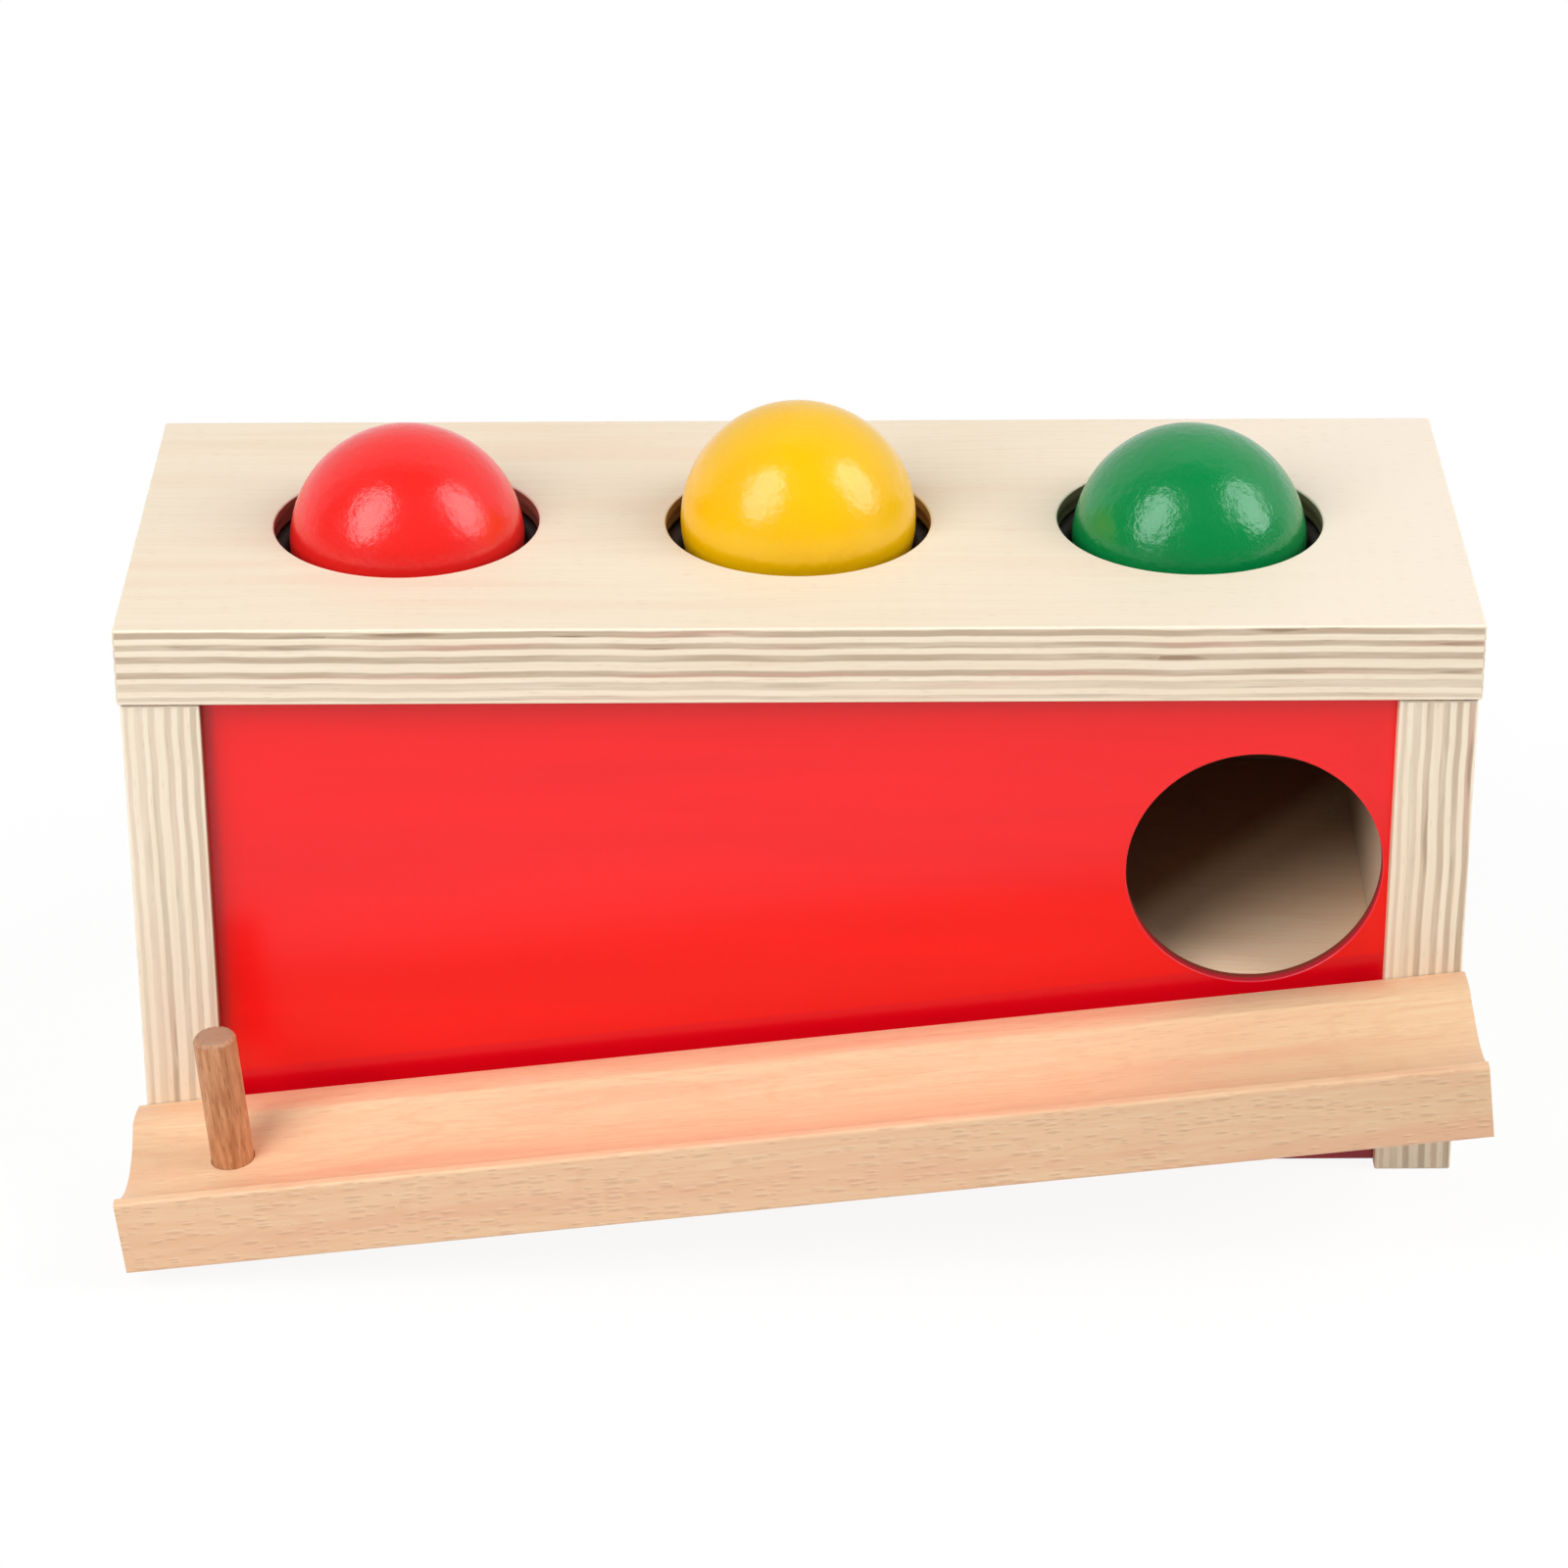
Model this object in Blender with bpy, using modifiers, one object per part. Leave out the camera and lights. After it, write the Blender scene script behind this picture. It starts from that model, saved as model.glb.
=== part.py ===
# Object permanence box in plywood and beech. Three balls sit in rubber rings in the top board.
# Pushed through its ring, a ball drops on the ramp inside, rolls out of the round exit hole
# and down the coved track on the front, where a peg stops it.
#
# Metres, +Z up. X runs along the box, the front looks along -Y and the feet stand on Z = 0.
# The origin lies under the middle of the whole object, track included.

import math

import bmesh
import bpy
from mathutils import Matrix, Vector

MM = 0.001

# Boards of the box. Its width follows from the row of bores, its height from the exit hole.
BORE_PITCH = 83.2 * MM
BORE_TO_PLATE_END = 56.8 * MM
PLATE_DEPTH = 107.4 * MM
PLATE_THICKNESS = 17.0 * MM
PLATE_OVERHANG = 0.6 * MM
END_THICKNESS = 16.3 * MM
BOARD_EDGE_ROUND = 0.5 * MM

# Thin panels, let into grooves in the end boards and in the top plate
PANEL_THICKNESS = 3.5 * MM
PANEL_RECESS = 3.6 * MM
PANEL_LET_IN = 3.5 * MM
PANEL_ABOVE_FLOOR = 0.5 * MM
PANEL_EDGE_ROUND = 0.3 * MM

# Gaps
GLUE_LINE = 0.25 * MM
GROOVE_GAP = 0.3 * MM
RUBBER_GAP = 0.3 * MM
CUT_OVERRUN = 2.0 * MM

# Balls and the bores that hold them
BALL_DIAMETER = 50.0 * MM
BORE_CLEARANCE = 6.3 * MM
BORE_CHAMFER = 0.4 * MM
RED_BALL_RISE = -4.3 * MM
YELLOW_BALL_RISE = 0.5 * MM
GREEN_BALL_RISE = -5.0 * MM

# Rubber rings, each loose in a groove that lets it stretch
RING_SECTION = 5.5 * MM
RING_DEPTH = 8.0 * MM

# Exit hole in the front panel. It opens just above the track and ends well below the plate.
EXIT_CLEARANCE = 3.7 * MM
EXIT_ABOVE_TRACK = 0.6 * MM
EXIT_BELOW_PLATE = 14.4 * MM
EXIT_RIM_TO_END_BOARD = 1.15 * MM
EXIT_CHAMFER = 0.3 * MM

# Ramp inside, which falls to the right and to the front
RAMP_THICKNESS = 5.0 * MM
RAMP_LET_IN = 3.5 * MM
RAMP_FALL_RIGHT = math.radians(2.5)
RAMP_FALL_FRONT = math.radians(3.0)
RAMP_SIDE_GAP = 0.4 * MM

# Track across the front, high at the right. Heights are from its back top edge.
TRACK_SLOPE = math.radians(6.4)
TRACK_ABOVE_FLOOR = 3.9 * MM
TRACK_PAST_END = 0.4 * MM
TRACK_THICKNESS = 13.5 * MM
CREST_RISE = 1.6 * MM
CREST_ROUND = 1.6 * MM
COVE_CLEARANCE = 4.0 * MM
COVE_CENTRE = 25.7 * MM
COVE_DROP = 2.6 * MM
RIDGE_RISE = 3.3 * MM
RIDGE_ROUND = 1.0 * MM
RIDGE_FLAT = 1.4 * MM
LIP_ROUND = 0.8 * MM
TRACK_END_ROUND = 1.0 * MM

# Stop peg. Its lean is from upright, towards the low end.
PEG_DIAMETER = 9.0 * MM
PEG_HEIGHT = 30.0 * MM
PEG_LET_IN = 7.0 * MM
PEG_FROM_END = 21.8 * MM
PEG_FROM_BACK = 21.6 * MM
PEG_CHAMFER = 0.8 * MM
PEG_LEAN = math.radians(4.7)

# Dowels
DOWEL_DIAMETER = 6.0 * MM
DOWEL_GAP = 0.3 * MM
DOWEL_CHAMFER = 0.6 * MM
DOWEL_COVER = 5.0 * MM
TOP_DOWEL_IN_BOARD = 20.0 * MM
TOP_DOWEL_INSET = 25.0 * MM
TRACK_DOWEL_IN_TRACK = 9.0 * MM
TRACK_DOWEL_IN_BOARD = 18.0 * MM

# Facets
BALL_SEGMENTS = 40
BALL_RINGS = 20
BORE_STEPS = 48
RING_STEPS = 40
RING_SIDES = 8
PEG_STEPS = 24
DOWEL_STEPS = 12
COVE_STEPS = 16
FILLET_STEPS = 4
CREST_STEPS = 4
BEVEL_SEGMENTS = 2
SHARP_ANGLE = math.radians(35.0)
END_EDGE_ANGLE = math.radians(60.0)
MERGE = 0.01 * MM

# Sizes that follow from the ones above
ball_radius = BALL_DIAMETER / 2
bore_radius = (BALL_DIAMETER + BORE_CLEARANCE) / 2
exit_radius = (BALL_DIAMETER + EXIT_CLEARANCE) / 2
cove_radius = ball_radius + COVE_CLEARANCE
ring_section_radius = RING_SECTION / 2
box_width = 2 * (BORE_PITCH + BORE_TO_PLATE_END)
cove_centre_height = cove_radius - COVE_DROP


def fillet_reach(rise, fillet_radius):
    """Distance from the cove's centre line to the centre of a fillet between the cove and a level top."""
    drop = cove_centre_height - rise + fillet_radius
    return math.sqrt((cove_radius + fillet_radius) ** 2 - drop**2)


crest_centre = COVE_CENTRE - fillet_reach(CREST_RISE, CREST_ROUND)
ridge_centre = COVE_CENTRE + fillet_reach(RIDGE_RISE, RIDGE_ROUND)
track_width = ridge_centre + RIDGE_FLAT + LIP_ROUND
track_length = (box_width + 2 * TRACK_PAST_END) / math.cos(TRACK_SLOPE)
track_low_end = track_length / 2 * math.sin(TRACK_SLOPE) + TRACK_THICKNESS * math.cos(TRACK_SLOPE)
track_height = TRACK_ABOVE_FLOOR + track_low_end

end_front = (GLUE_LINE + track_width + PLATE_OVERHANG - PLATE_DEPTH) / 2
plate_front = end_front - PLATE_OVERHANG
plate_back = plate_front + PLATE_DEPTH
plate_middle = (plate_front + plate_back) / 2
end_back = plate_back - PLATE_OVERHANG
end_outer = box_width / 2 - PLATE_OVERHANG
end_inner = end_outer - END_THICKNESS
groove_depth = PANEL_LET_IN + GROOVE_GAP
dowel_x = (end_inner + groove_depth + end_outer) / 2

front_panel_middle = end_front + PANEL_RECESS + PANEL_THICKNESS / 2
back_panel_middle = end_back - PANEL_RECESS - PANEL_THICKNESS / 2
front_panel_inside = front_panel_middle + PANEL_THICKNESS / 2
back_panel_inside = back_panel_middle - PANEL_THICKNESS / 2

# The track leans sideways, so its section shifts its ends along X: this centres it under the box.
track_shift = (RIDGE_RISE - TRACK_THICKNESS) * math.sin(TRACK_SLOPE) / 2

# Heights, worked up from the track: the exit hole, the plate and the end boards under it
exit_x = end_inner - EXIT_RIM_TO_END_BOARD - exit_radius
exit_foot = track_height + (exit_x - track_shift) * math.tan(TRACK_SLOPE) + EXIT_ABOVE_TRACK
exit_height = exit_foot + exit_radius
plate_underside = exit_height + exit_radius + EXIT_BELOW_PLATE
plate_top = plate_underside + PLATE_THICKNESS
end_top = plate_underside - GLUE_LINE

ramp_middle_y = (front_panel_inside + back_panel_inside) / 2
ramp_rise_to_left = exit_x * math.tan(RAMP_FALL_RIGHT)
ramp_half_depth = ramp_middle_y - front_panel_inside
ramp_rise_to_back = ramp_half_depth * math.tan(RAMP_FALL_FRONT) / math.cos(RAMP_FALL_RIGHT)
ramp_middle_top = exit_foot + ramp_rise_to_left + ramp_rise_to_back


def ring_radius(ball_rise):
    """Radius of a ring's centre line, so that its section just clears the ball."""
    height = ball_rise + RING_DEPTH
    return math.sqrt((ball_radius + ring_section_radius + RUBBER_GAP) ** 2 - height**2)


BALLS = (
    ("red_ball", "rubber_ring_left", -BORE_PITCH, RED_BALL_RISE),
    ("yellow_ball", "rubber_ring_middle", 0.0, YELLOW_BALL_RISE),
    ("green_ball", "rubber_ring_right", BORE_PITCH, GREEN_BALL_RISE),
)
ring_groove_radius = max(ring_radius(rise) for _, _, _, rise in BALLS) + ring_section_radius + RUBBER_GAP


for old in list(bpy.data.objects):
    bpy.data.objects.remove(old, do_unlink=True)

parts = bpy.data.collections.new("object_permanence_box")
cutters = bpy.data.collections.new("cutters")
bpy.context.scene.collection.children.link(parts)
bpy.context.scene.collection.children.link(cutters)


def material(name, colour, roughness):
    found = bpy.data.materials.new(name)
    found.use_nodes = True
    shader = found.node_tree.nodes["Principled BSDF"]
    shader.inputs["Base Color"].default_value = (*colour, 1.0)
    shader.inputs["Roughness"].default_value = roughness
    shader.inputs["Metallic"].default_value = 0.0
    found.diffuse_color = (*colour, 1.0)
    return found


def put_in(obj, collection):
    """Moves an object from the scene's own collection to the given one."""
    for owner in list(obj.users_collection):
        owner.objects.unlink(obj)
    collection.objects.link(obj)
    return obj


def as_part(obj, finish):
    put_in(obj, parts)
    obj.data.materials.clear()
    obj.data.materials.append(finish)
    return obj


def as_cutter(obj):
    put_in(obj, cutters)
    obj.hide_render = True
    obj.display_type = "WIRE"
    return obj


def box(name, low, high):
    """A box between two corners, with its origin at its middle and its size in its mesh."""
    low = Vector(low)
    high = Vector(high)
    bpy.ops.mesh.primitive_cube_add(size=1.0, location=(low + high) / 2)
    obj = bpy.context.object
    obj.name = name
    obj.data.name = name
    obj.data.transform(Matrix.Diagonal((*(high - low), 1.0)))
    return obj


def turned(name, profile, steps, location):
    """A shape turned about Z from a profile of (radius, height) points, given from the top down."""
    mesh = bpy.data.meshes.new(name)
    lathe = bmesh.new()
    points = [lathe.verts.new((radius, 0.0, height)) for radius, height in profile]
    for upper, lower in zip(points, points[1:]):
        lathe.edges.new((upper, lower))
    lathe.to_mesh(mesh)
    lathe.free()
    obj = bpy.data.objects.new(name, mesh)
    obj.location = location
    bpy.context.scene.collection.objects.link(obj)
    screw = obj.modifiers.new("turn", "SCREW")
    screw.steps = steps
    screw.render_steps = steps
    screw.use_merge_vertices = True
    screw.merge_threshold = MERGE
    screw.use_smooth_shade = True
    return obj


def rod(name, radius, top, bottom, chamfer, steps, location):
    """A round rod along Z with both ends chamfered."""
    profile = (
        (0.0, top),
        (radius - chamfer, top),
        (radius, top - chamfer),
        (radius, bottom + chamfer),
        (radius - chamfer, bottom),
        (0.0, bottom),
    )
    return turned(name, profile, steps, location)


def hole(name, radius, top, bottom, steps, location):
    """A plain round cutter along Z."""
    profile = ((0.0, top), (radius, top), (radius, bottom), (0.0, bottom))
    return as_cutter(turned(name, profile, steps, location))


def round_edges(obj, width, segments=BEVEL_SEGMENTS, angle=SHARP_ANGLE):
    bevel = obj.modifiers.new("rounded edges", "BEVEL")
    bevel.width = width
    bevel.segments = segments
    bevel.limit_method = "ANGLE"
    bevel.angle_limit = angle
    return bevel


def cut(obj, cutter):
    boolean = obj.modifiers.new("cut " + cutter.name, "BOOLEAN")
    boolean.operation = "DIFFERENCE"
    boolean.solver = "EXACT"
    boolean.object = cutter
    return boolean


def evaluated_mesh(obj, name):
    """A plain mesh of what the object's modifiers or curve make."""
    graph = bpy.context.evaluated_depsgraph_get()
    mesh = bpy.data.meshes.new_from_object(obj.evaluated_get(graph))
    mesh.name = name
    return mesh


birch = material("birch_plywood", (0.83, 0.69, 0.47), 0.55)
beech = material("beech", (0.80, 0.50, 0.29), 0.5)
peg_wood = material("red_brown_hardwood", (0.45, 0.22, 0.10), 0.5)
ramp_wood = material("ramp_plywood", (0.74, 0.60, 0.42), 0.6)
dowel_wood = material("dowel_birch", (0.78, 0.62, 0.40), 0.6)
red_lacquer = material("red_panel_lacquer", (0.83, 0.02, 0.02), 0.35)
rubber = material("dark_rubber", (0.03, 0.03, 0.027), 0.7)
BALL_LACQUER = {
    "red_ball": material("red_ball_lacquer", (0.80, 0.02, 0.02), 0.2),
    "yellow_ball": material("yellow_ball_lacquer", (0.90, 0.55, 0.01), 0.2),
    "green_ball": material("green_ball_lacquer", (0.01, 0.25, 0.07), 0.2),
}


def panel_groove(name, middle):
    """Cuts the groove that a thin panel sits in, in the end boards and in the top plate alike."""
    half = PANEL_THICKNESS / 2 + GROOVE_GAP
    reach = end_inner + groove_depth
    low = (-reach, middle - half, -CUT_OVERRUN)
    high = (reach, middle + half, plate_underside + groove_depth)
    return as_cutter(box(name, low, high))


front_groove = panel_groove("front_panel_groove", front_panel_middle)
back_groove = panel_groove("back_panel_groove", back_panel_middle)


def ramp_block(name, length, extra):
    """The ramp's box, tilted both ways about its top's middle. Only its ends get no extra."""
    width = (back_panel_inside - front_panel_inside - 2 * RAMP_SIDE_GAP) / math.cos(RAMP_FALL_FRONT)
    low = Vector((-length / 2, -width / 2 - extra, -RAMP_THICKNESS - extra))
    high = Vector((length / 2, width / 2 + extra, extra))
    obj = box(name, low, high)
    obj.data.transform(Matrix.Translation((low + high) / 2))
    obj.rotation_euler = (RAMP_FALL_FRONT, RAMP_FALL_RIGHT, 0.0)
    obj.location = (0.0, ramp_middle_y, ramp_middle_top)
    return obj


def ramp_board():
    length = 2 * (end_inner + RAMP_LET_IN) / math.cos(RAMP_FALL_RIGHT)
    obj = as_part(ramp_block("ramp_board", length, 0.0), ramp_wood)
    round_edges(obj, PANEL_EDGE_ROUND)


def ramp_seat():
    length = 2 * (end_inner + RAMP_LET_IN + GROOVE_GAP) / math.cos(RAMP_FALL_RIGHT)
    return as_cutter(ramp_block("ramp_seat", length, GROOVE_GAP))


def top_dowel_spots():
    """Name and place of each dowel between the top plate and an end board."""
    for side, x in (("left", -dowel_x), ("right", dowel_x)):
        for end, y in (("front", end_front + TOP_DOWEL_INSET), ("back", end_back - TOP_DOWEL_INSET)):
            yield f"top_dowel_{side}_{end}", x, y


def track_dowel_spots():
    """Name, X and height of each track dowel, half way down the track's back face."""
    for side, x in (("left", -dowel_x), ("right", dowel_x)):
        back_edge = track_height + (x - track_shift) * math.tan(TRACK_SLOPE)
        yield f"track_dowel_{side}", x, back_edge - TRACK_THICKNESS / 2 / math.cos(TRACK_SLOPE)


top_dowel_top = plate_top - DOWEL_COVER
top_dowel_bottom = end_top - TOP_DOWEL_IN_BOARD
track_dowel_front = end_front - GLUE_LINE - TRACK_DOWEL_IN_TRACK
track_dowel_back = end_front + TRACK_DOWEL_IN_BOARD


def dowel(name, front, back, location):
    radius = DOWEL_DIAMETER / 2
    return as_part(rod(name, radius, front, back, DOWEL_CHAMFER, DOWEL_STEPS, location), dowel_wood)


def dowel_bore(name, front, back, location):
    radius = DOWEL_DIAMETER / 2 + DOWEL_GAP
    return hole(name, radius, front + DOWEL_GAP, back - DOWEL_GAP, DOWEL_STEPS, location)


def top_dowels():
    """The dowels and, in the same order, the bores for them."""
    bores = []
    for name, x, y in top_dowel_spots():
        dowel(name, top_dowel_top, top_dowel_bottom, (x, y, 0.0))
        bores.append(dowel_bore(name + "_bore", top_dowel_top, top_dowel_bottom, (x, y, 0.0)))
    return bores


def track_dowels():
    """The same for the track's dowels, which lie along Y with their front ends in the track."""
    bores = []
    for name, x, z in track_dowel_spots():
        pin = dowel(name, -track_dowel_front, -track_dowel_back, (x, 0.0, z))
        bore = dowel_bore(name + "_bore", -track_dowel_front, -track_dowel_back, (x, 0.0, z))
        pin.rotation_euler = (math.pi / 2, 0.0, 0.0)
        bore.rotation_euler = (math.pi / 2, 0.0, 0.0)
        bores.append(bore)
    return bores


def ball_bore(x):
    """Turned cutter for one bore: through the plate, with the ring's groove and chamfered rims."""
    flare = CUT_OVERRUN
    groove_top = -RING_DEPTH + ring_section_radius + RUBBER_GAP
    groove_bottom = -RING_DEPTH - ring_section_radius - RUBBER_GAP
    profile = (
        (0.0, flare),
        (bore_radius + BORE_CHAMFER + flare, flare),
        (bore_radius, -BORE_CHAMFER),
        (bore_radius, groove_top),
        (ring_groove_radius, groove_top),
        (ring_groove_radius, groove_bottom),
        (bore_radius, groove_bottom),
        (bore_radius, BORE_CHAMFER - PLATE_THICKNESS),
        (bore_radius + BORE_CHAMFER + flare, -PLATE_THICKNESS - flare),
        (0.0, -PLATE_THICKNESS - flare),
    )
    return as_cutter(turned("ball_bore", profile, BORE_STEPS, (x, plate_middle, plate_top)))


def top_plate(dowel_bores):
    half = box_width / 2
    obj = box("top_plate", (-half, plate_front, plate_underside), (half, plate_back, plate_top))
    as_part(obj, birch)
    round_edges(obj, BOARD_EDGE_ROUND)
    for _, _, x, _ in BALLS:
        cut(obj, ball_bore(x))
    for cutter in (front_groove, back_groove, *dowel_bores):
        cut(obj, cutter)


def end_panel(name, side, cuts):
    """One end board, which is also a foot. The side is -1 at the left and 1 at the right."""
    edges = sorted((side * end_inner, side * end_outer))
    obj = box(name, (edges[0], end_front, 0.0), (edges[1], end_back, end_top))
    as_part(obj, birch)
    round_edges(obj, BOARD_EDGE_ROUND)
    for cutter in cuts:
        cut(obj, cutter)


def thin_panel(name, middle, finish):
    reach = end_inner + PANEL_LET_IN
    low = (-reach, middle - PANEL_THICKNESS / 2, PANEL_ABOVE_FLOOR)
    high = (reach, middle + PANEL_THICKNESS / 2, plate_underside + PANEL_LET_IN)
    obj = as_part(box(name, low, high), finish)
    round_edges(obj, PANEL_EDGE_ROUND)
    return obj


def exit_cutter():
    """Round cutter along Y with a small chamfer at the panel's outer face."""
    half = PANEL_THICKNESS / 2
    profile = (
        (0.0, half + CUT_OVERRUN),
        (exit_radius + EXIT_CHAMFER + CUT_OVERRUN, half + CUT_OVERRUN),
        (exit_radius, half - EXIT_CHAMFER),
        (exit_radius, -half - CUT_OVERRUN),
        (0.0, -half - CUT_OVERRUN),
    )
    obj = as_cutter(turned("exit_hole", profile, BORE_STEPS, (exit_x, front_panel_middle, exit_height)))
    obj.rotation_euler = (math.pi / 2, 0.0, 0.0)
    return obj


def arc(centre, radius, start, end, steps):
    """Points of an arc, both ends included, with its angles in radians from the first axis."""
    for step in range(steps + 1):
        angle = start + (end - start) * step / steps
        yield centre[0] + radius * math.cos(angle), centre[1] + radius * math.sin(angle)


def track_section():
    """Outline of the track across its length, as (distance from the box, height) points."""
    right_angle = math.pi / 2
    points = [(0.0, 0.0)]
    for step in range(1, CREST_STEPS):
        share = step / CREST_STEPS
        points.append((crest_centre * share, CREST_RISE * (1 - (1 - share) ** 2)))
    crest = (crest_centre, CREST_RISE - CREST_ROUND)
    cove = (COVE_CENTRE, cove_centre_height)
    ridge = (ridge_centre, RIDGE_RISE - RIDGE_ROUND)
    crest_angle = math.atan2(cove[1] - crest[1], cove[0] - crest[0])
    ridge_angle = math.atan2(cove[1] - ridge[1], cove[0] - ridge[0])
    points.extend(arc(crest, CREST_ROUND, right_angle, crest_angle, FILLET_STEPS))
    hollow = list(arc(cove, cove_radius, crest_angle - math.pi, ridge_angle - math.pi, COVE_STEPS))
    points.extend(hollow[1:-1])
    points.extend(arc(ridge, RIDGE_ROUND, ridge_angle, right_angle, FILLET_STEPS))
    lip = (track_width - LIP_ROUND, RIDGE_RISE - LIP_ROUND)
    foot = (track_width - LIP_ROUND, LIP_ROUND - TRACK_THICKNESS)
    points.extend(arc(lip, LIP_ROUND, right_angle, 0.0, FILLET_STEPS))
    points.extend(arc(foot, LIP_ROUND, 0.0, -right_angle, FILLET_STEPS))
    points.append((0.0, -TRACK_THICKNESS))
    return points


def ball_track(track_frame, peg_bore, dowel_bores):
    """The coved moulding: its section as a flat curve, extruded, laid along X, its back on the box."""
    outline = bpy.data.curves.new("track_section", "CURVE")
    outline.dimensions = "2D"
    outline.fill_mode = "BOTH"
    outline.extrude = track_length / 2
    points = track_section()
    spline = outline.splines.new("POLY")
    spline.points.add(len(points) - 1)
    for point, (away, height) in zip(spline.points, points):
        point.co = (away, height, 0.0, 1.0)
    spline.use_cyclic_u = True
    drawn = bpy.data.objects.new("track_section", outline)
    bpy.context.scene.collection.objects.link(drawn)
    mesh = evaluated_mesh(drawn, "ball_track")
    bpy.data.objects.remove(drawn, do_unlink=True)
    solid = bmesh.new()
    solid.from_mesh(mesh)
    bmesh.ops.remove_doubles(solid, verts=solid.verts, dist=MERGE)
    bmesh.ops.recalc_face_normals(solid, faces=solid.faces)
    solid.to_mesh(mesh)
    solid.free()
    lay_along_x = Matrix(((0.0, 0.0, -1.0), (-1.0, 0.0, 0.0), (0.0, 1.0, 0.0)))
    mesh.transform(lay_along_x.to_4x4())
    obj = bpy.data.objects.new("ball_track", mesh)
    bpy.context.scene.collection.objects.link(obj)
    as_part(obj, beech)
    obj.parent = track_frame
    round_edges(obj, TRACK_END_ROUND, angle=END_EDGE_ANGLE)
    for cutter in (peg_bore, *dowel_bores):
        cut(obj, cutter)


def stop_peg(track_frame):
    """The peg stands in the cove, and its height is from the cove's lowest line."""
    place = (PEG_FROM_END - track_length / 2, -PEG_FROM_BACK, -COVE_DROP)
    radius = PEG_DIAMETER / 2
    tilt = (0.0, TRACK_SLOPE - PEG_LEAN, 0.0)
    obj = rod("stop_peg", radius, PEG_HEIGHT, -PEG_LET_IN, PEG_CHAMFER, PEG_STEPS, place)
    as_part(obj, peg_wood)
    obj.rotation_euler = tilt
    obj.parent = track_frame
    bore_top = COVE_DROP + RIDGE_RISE + CUT_OVERRUN
    bore_bottom = -PEG_LET_IN - GROOVE_GAP
    bore = hole("peg_bore", radius + GROOVE_GAP, bore_top, bore_bottom, PEG_STEPS, place)
    bore.rotation_euler = tilt
    bore.parent = track_frame
    return bore


def ball_and_ring(name, ring_name, x, rise):
    bpy.ops.mesh.primitive_uv_sphere_add(
        segments=BALL_SEGMENTS,
        ring_count=BALL_RINGS,
        radius=ball_radius,
        location=(x, plate_middle, plate_top + rise),
    )
    ball = bpy.context.object
    ball.name = name
    as_part(ball, BALL_LACQUER[name])
    ball.data.shade_smooth()
    bpy.ops.mesh.primitive_torus_add(
        major_radius=ring_radius(rise),
        minor_radius=ring_section_radius,
        major_segments=RING_STEPS,
        minor_segments=RING_SIDES,
        location=(x, plate_middle, plate_top - RING_DEPTH),
    )
    ring = bpy.context.object
    ring.name = ring_name
    as_part(ring, rubber)
    ring.data.shade_smooth()


track_frame = bpy.data.objects.new("track_frame", None)
parts.objects.link(track_frame)
track_frame.location = (track_shift, end_front - GLUE_LINE, track_height)
track_frame.rotation_euler = (0.0, -TRACK_SLOPE, 0.0)

plate_bores = top_dowels()
track_bores = track_dowels()
seat = ramp_seat()
top_plate(plate_bores)
end_panel("left_end_panel", -1, (front_groove, back_groove, seat, *plate_bores[:2], track_bores[0]))
end_panel("right_end_panel", 1, (front_groove, back_groove, seat, *plate_bores[2:], track_bores[1]))
front_panel = thin_panel("front_panel", front_panel_middle, red_lacquer)
cut(front_panel, exit_cutter())
thin_panel("back_panel", back_panel_middle, red_lacquer)
ramp_board()
ball_track(track_frame, stop_peg(track_frame), track_bores)
for ball_row in BALLS:
    ball_and_ring(*ball_row)
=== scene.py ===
# %% [markdown]
# # Dressing an object permanence box
#
# The toy is a plywood box with three lacquered balls held by rubber rings in its top board. A ball
# that is pushed through drops on a ramp inside, rolls out of the round hole in the red front and
# down the beech track to the peg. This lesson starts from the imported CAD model, which fixes every
# size, and gives it the surfaces that a camera sees: plies, grain, lacquer and rubber.
#
# All lengths are metres, +Z is up, and the front of the box looks along -Y.

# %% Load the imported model
import math

import bmesh
import bpy
from mathutils import Matrix, Vector


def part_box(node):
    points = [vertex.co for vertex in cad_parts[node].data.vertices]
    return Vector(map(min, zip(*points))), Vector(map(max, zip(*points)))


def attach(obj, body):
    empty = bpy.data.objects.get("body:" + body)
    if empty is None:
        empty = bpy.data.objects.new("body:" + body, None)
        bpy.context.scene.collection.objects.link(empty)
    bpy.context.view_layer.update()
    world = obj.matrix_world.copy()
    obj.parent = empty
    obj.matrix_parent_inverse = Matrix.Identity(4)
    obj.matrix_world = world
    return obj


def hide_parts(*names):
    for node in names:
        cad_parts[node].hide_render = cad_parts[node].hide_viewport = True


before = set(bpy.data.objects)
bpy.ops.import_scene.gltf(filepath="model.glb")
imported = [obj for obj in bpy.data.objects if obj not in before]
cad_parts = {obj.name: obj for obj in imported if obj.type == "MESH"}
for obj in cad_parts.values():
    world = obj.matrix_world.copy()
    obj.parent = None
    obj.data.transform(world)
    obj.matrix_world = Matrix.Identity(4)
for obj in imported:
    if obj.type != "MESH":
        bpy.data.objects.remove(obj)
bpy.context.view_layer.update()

MM = 0.001
print("nodes in it:", len(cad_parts))

# %% [markdown]
# ## Sizes
#
# What a corner doesn't tell, such as the radius of a bore, is named here. The values are those of
# the model's own source, as are the main sizes of the track and the peg further down.

# %% Sizes that the pieces share
plate_low, plate_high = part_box("top_plate")
panel_low, panel_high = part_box("front_panel")
back_low, back_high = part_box("back_panel")
left_low, left_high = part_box("left_end_panel")
right_low, right_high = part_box("right_end_panel")
plate_middle = (plate_low.y + plate_high.y) / 2
plate_thickness = plate_high.z - plate_low.z

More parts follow.
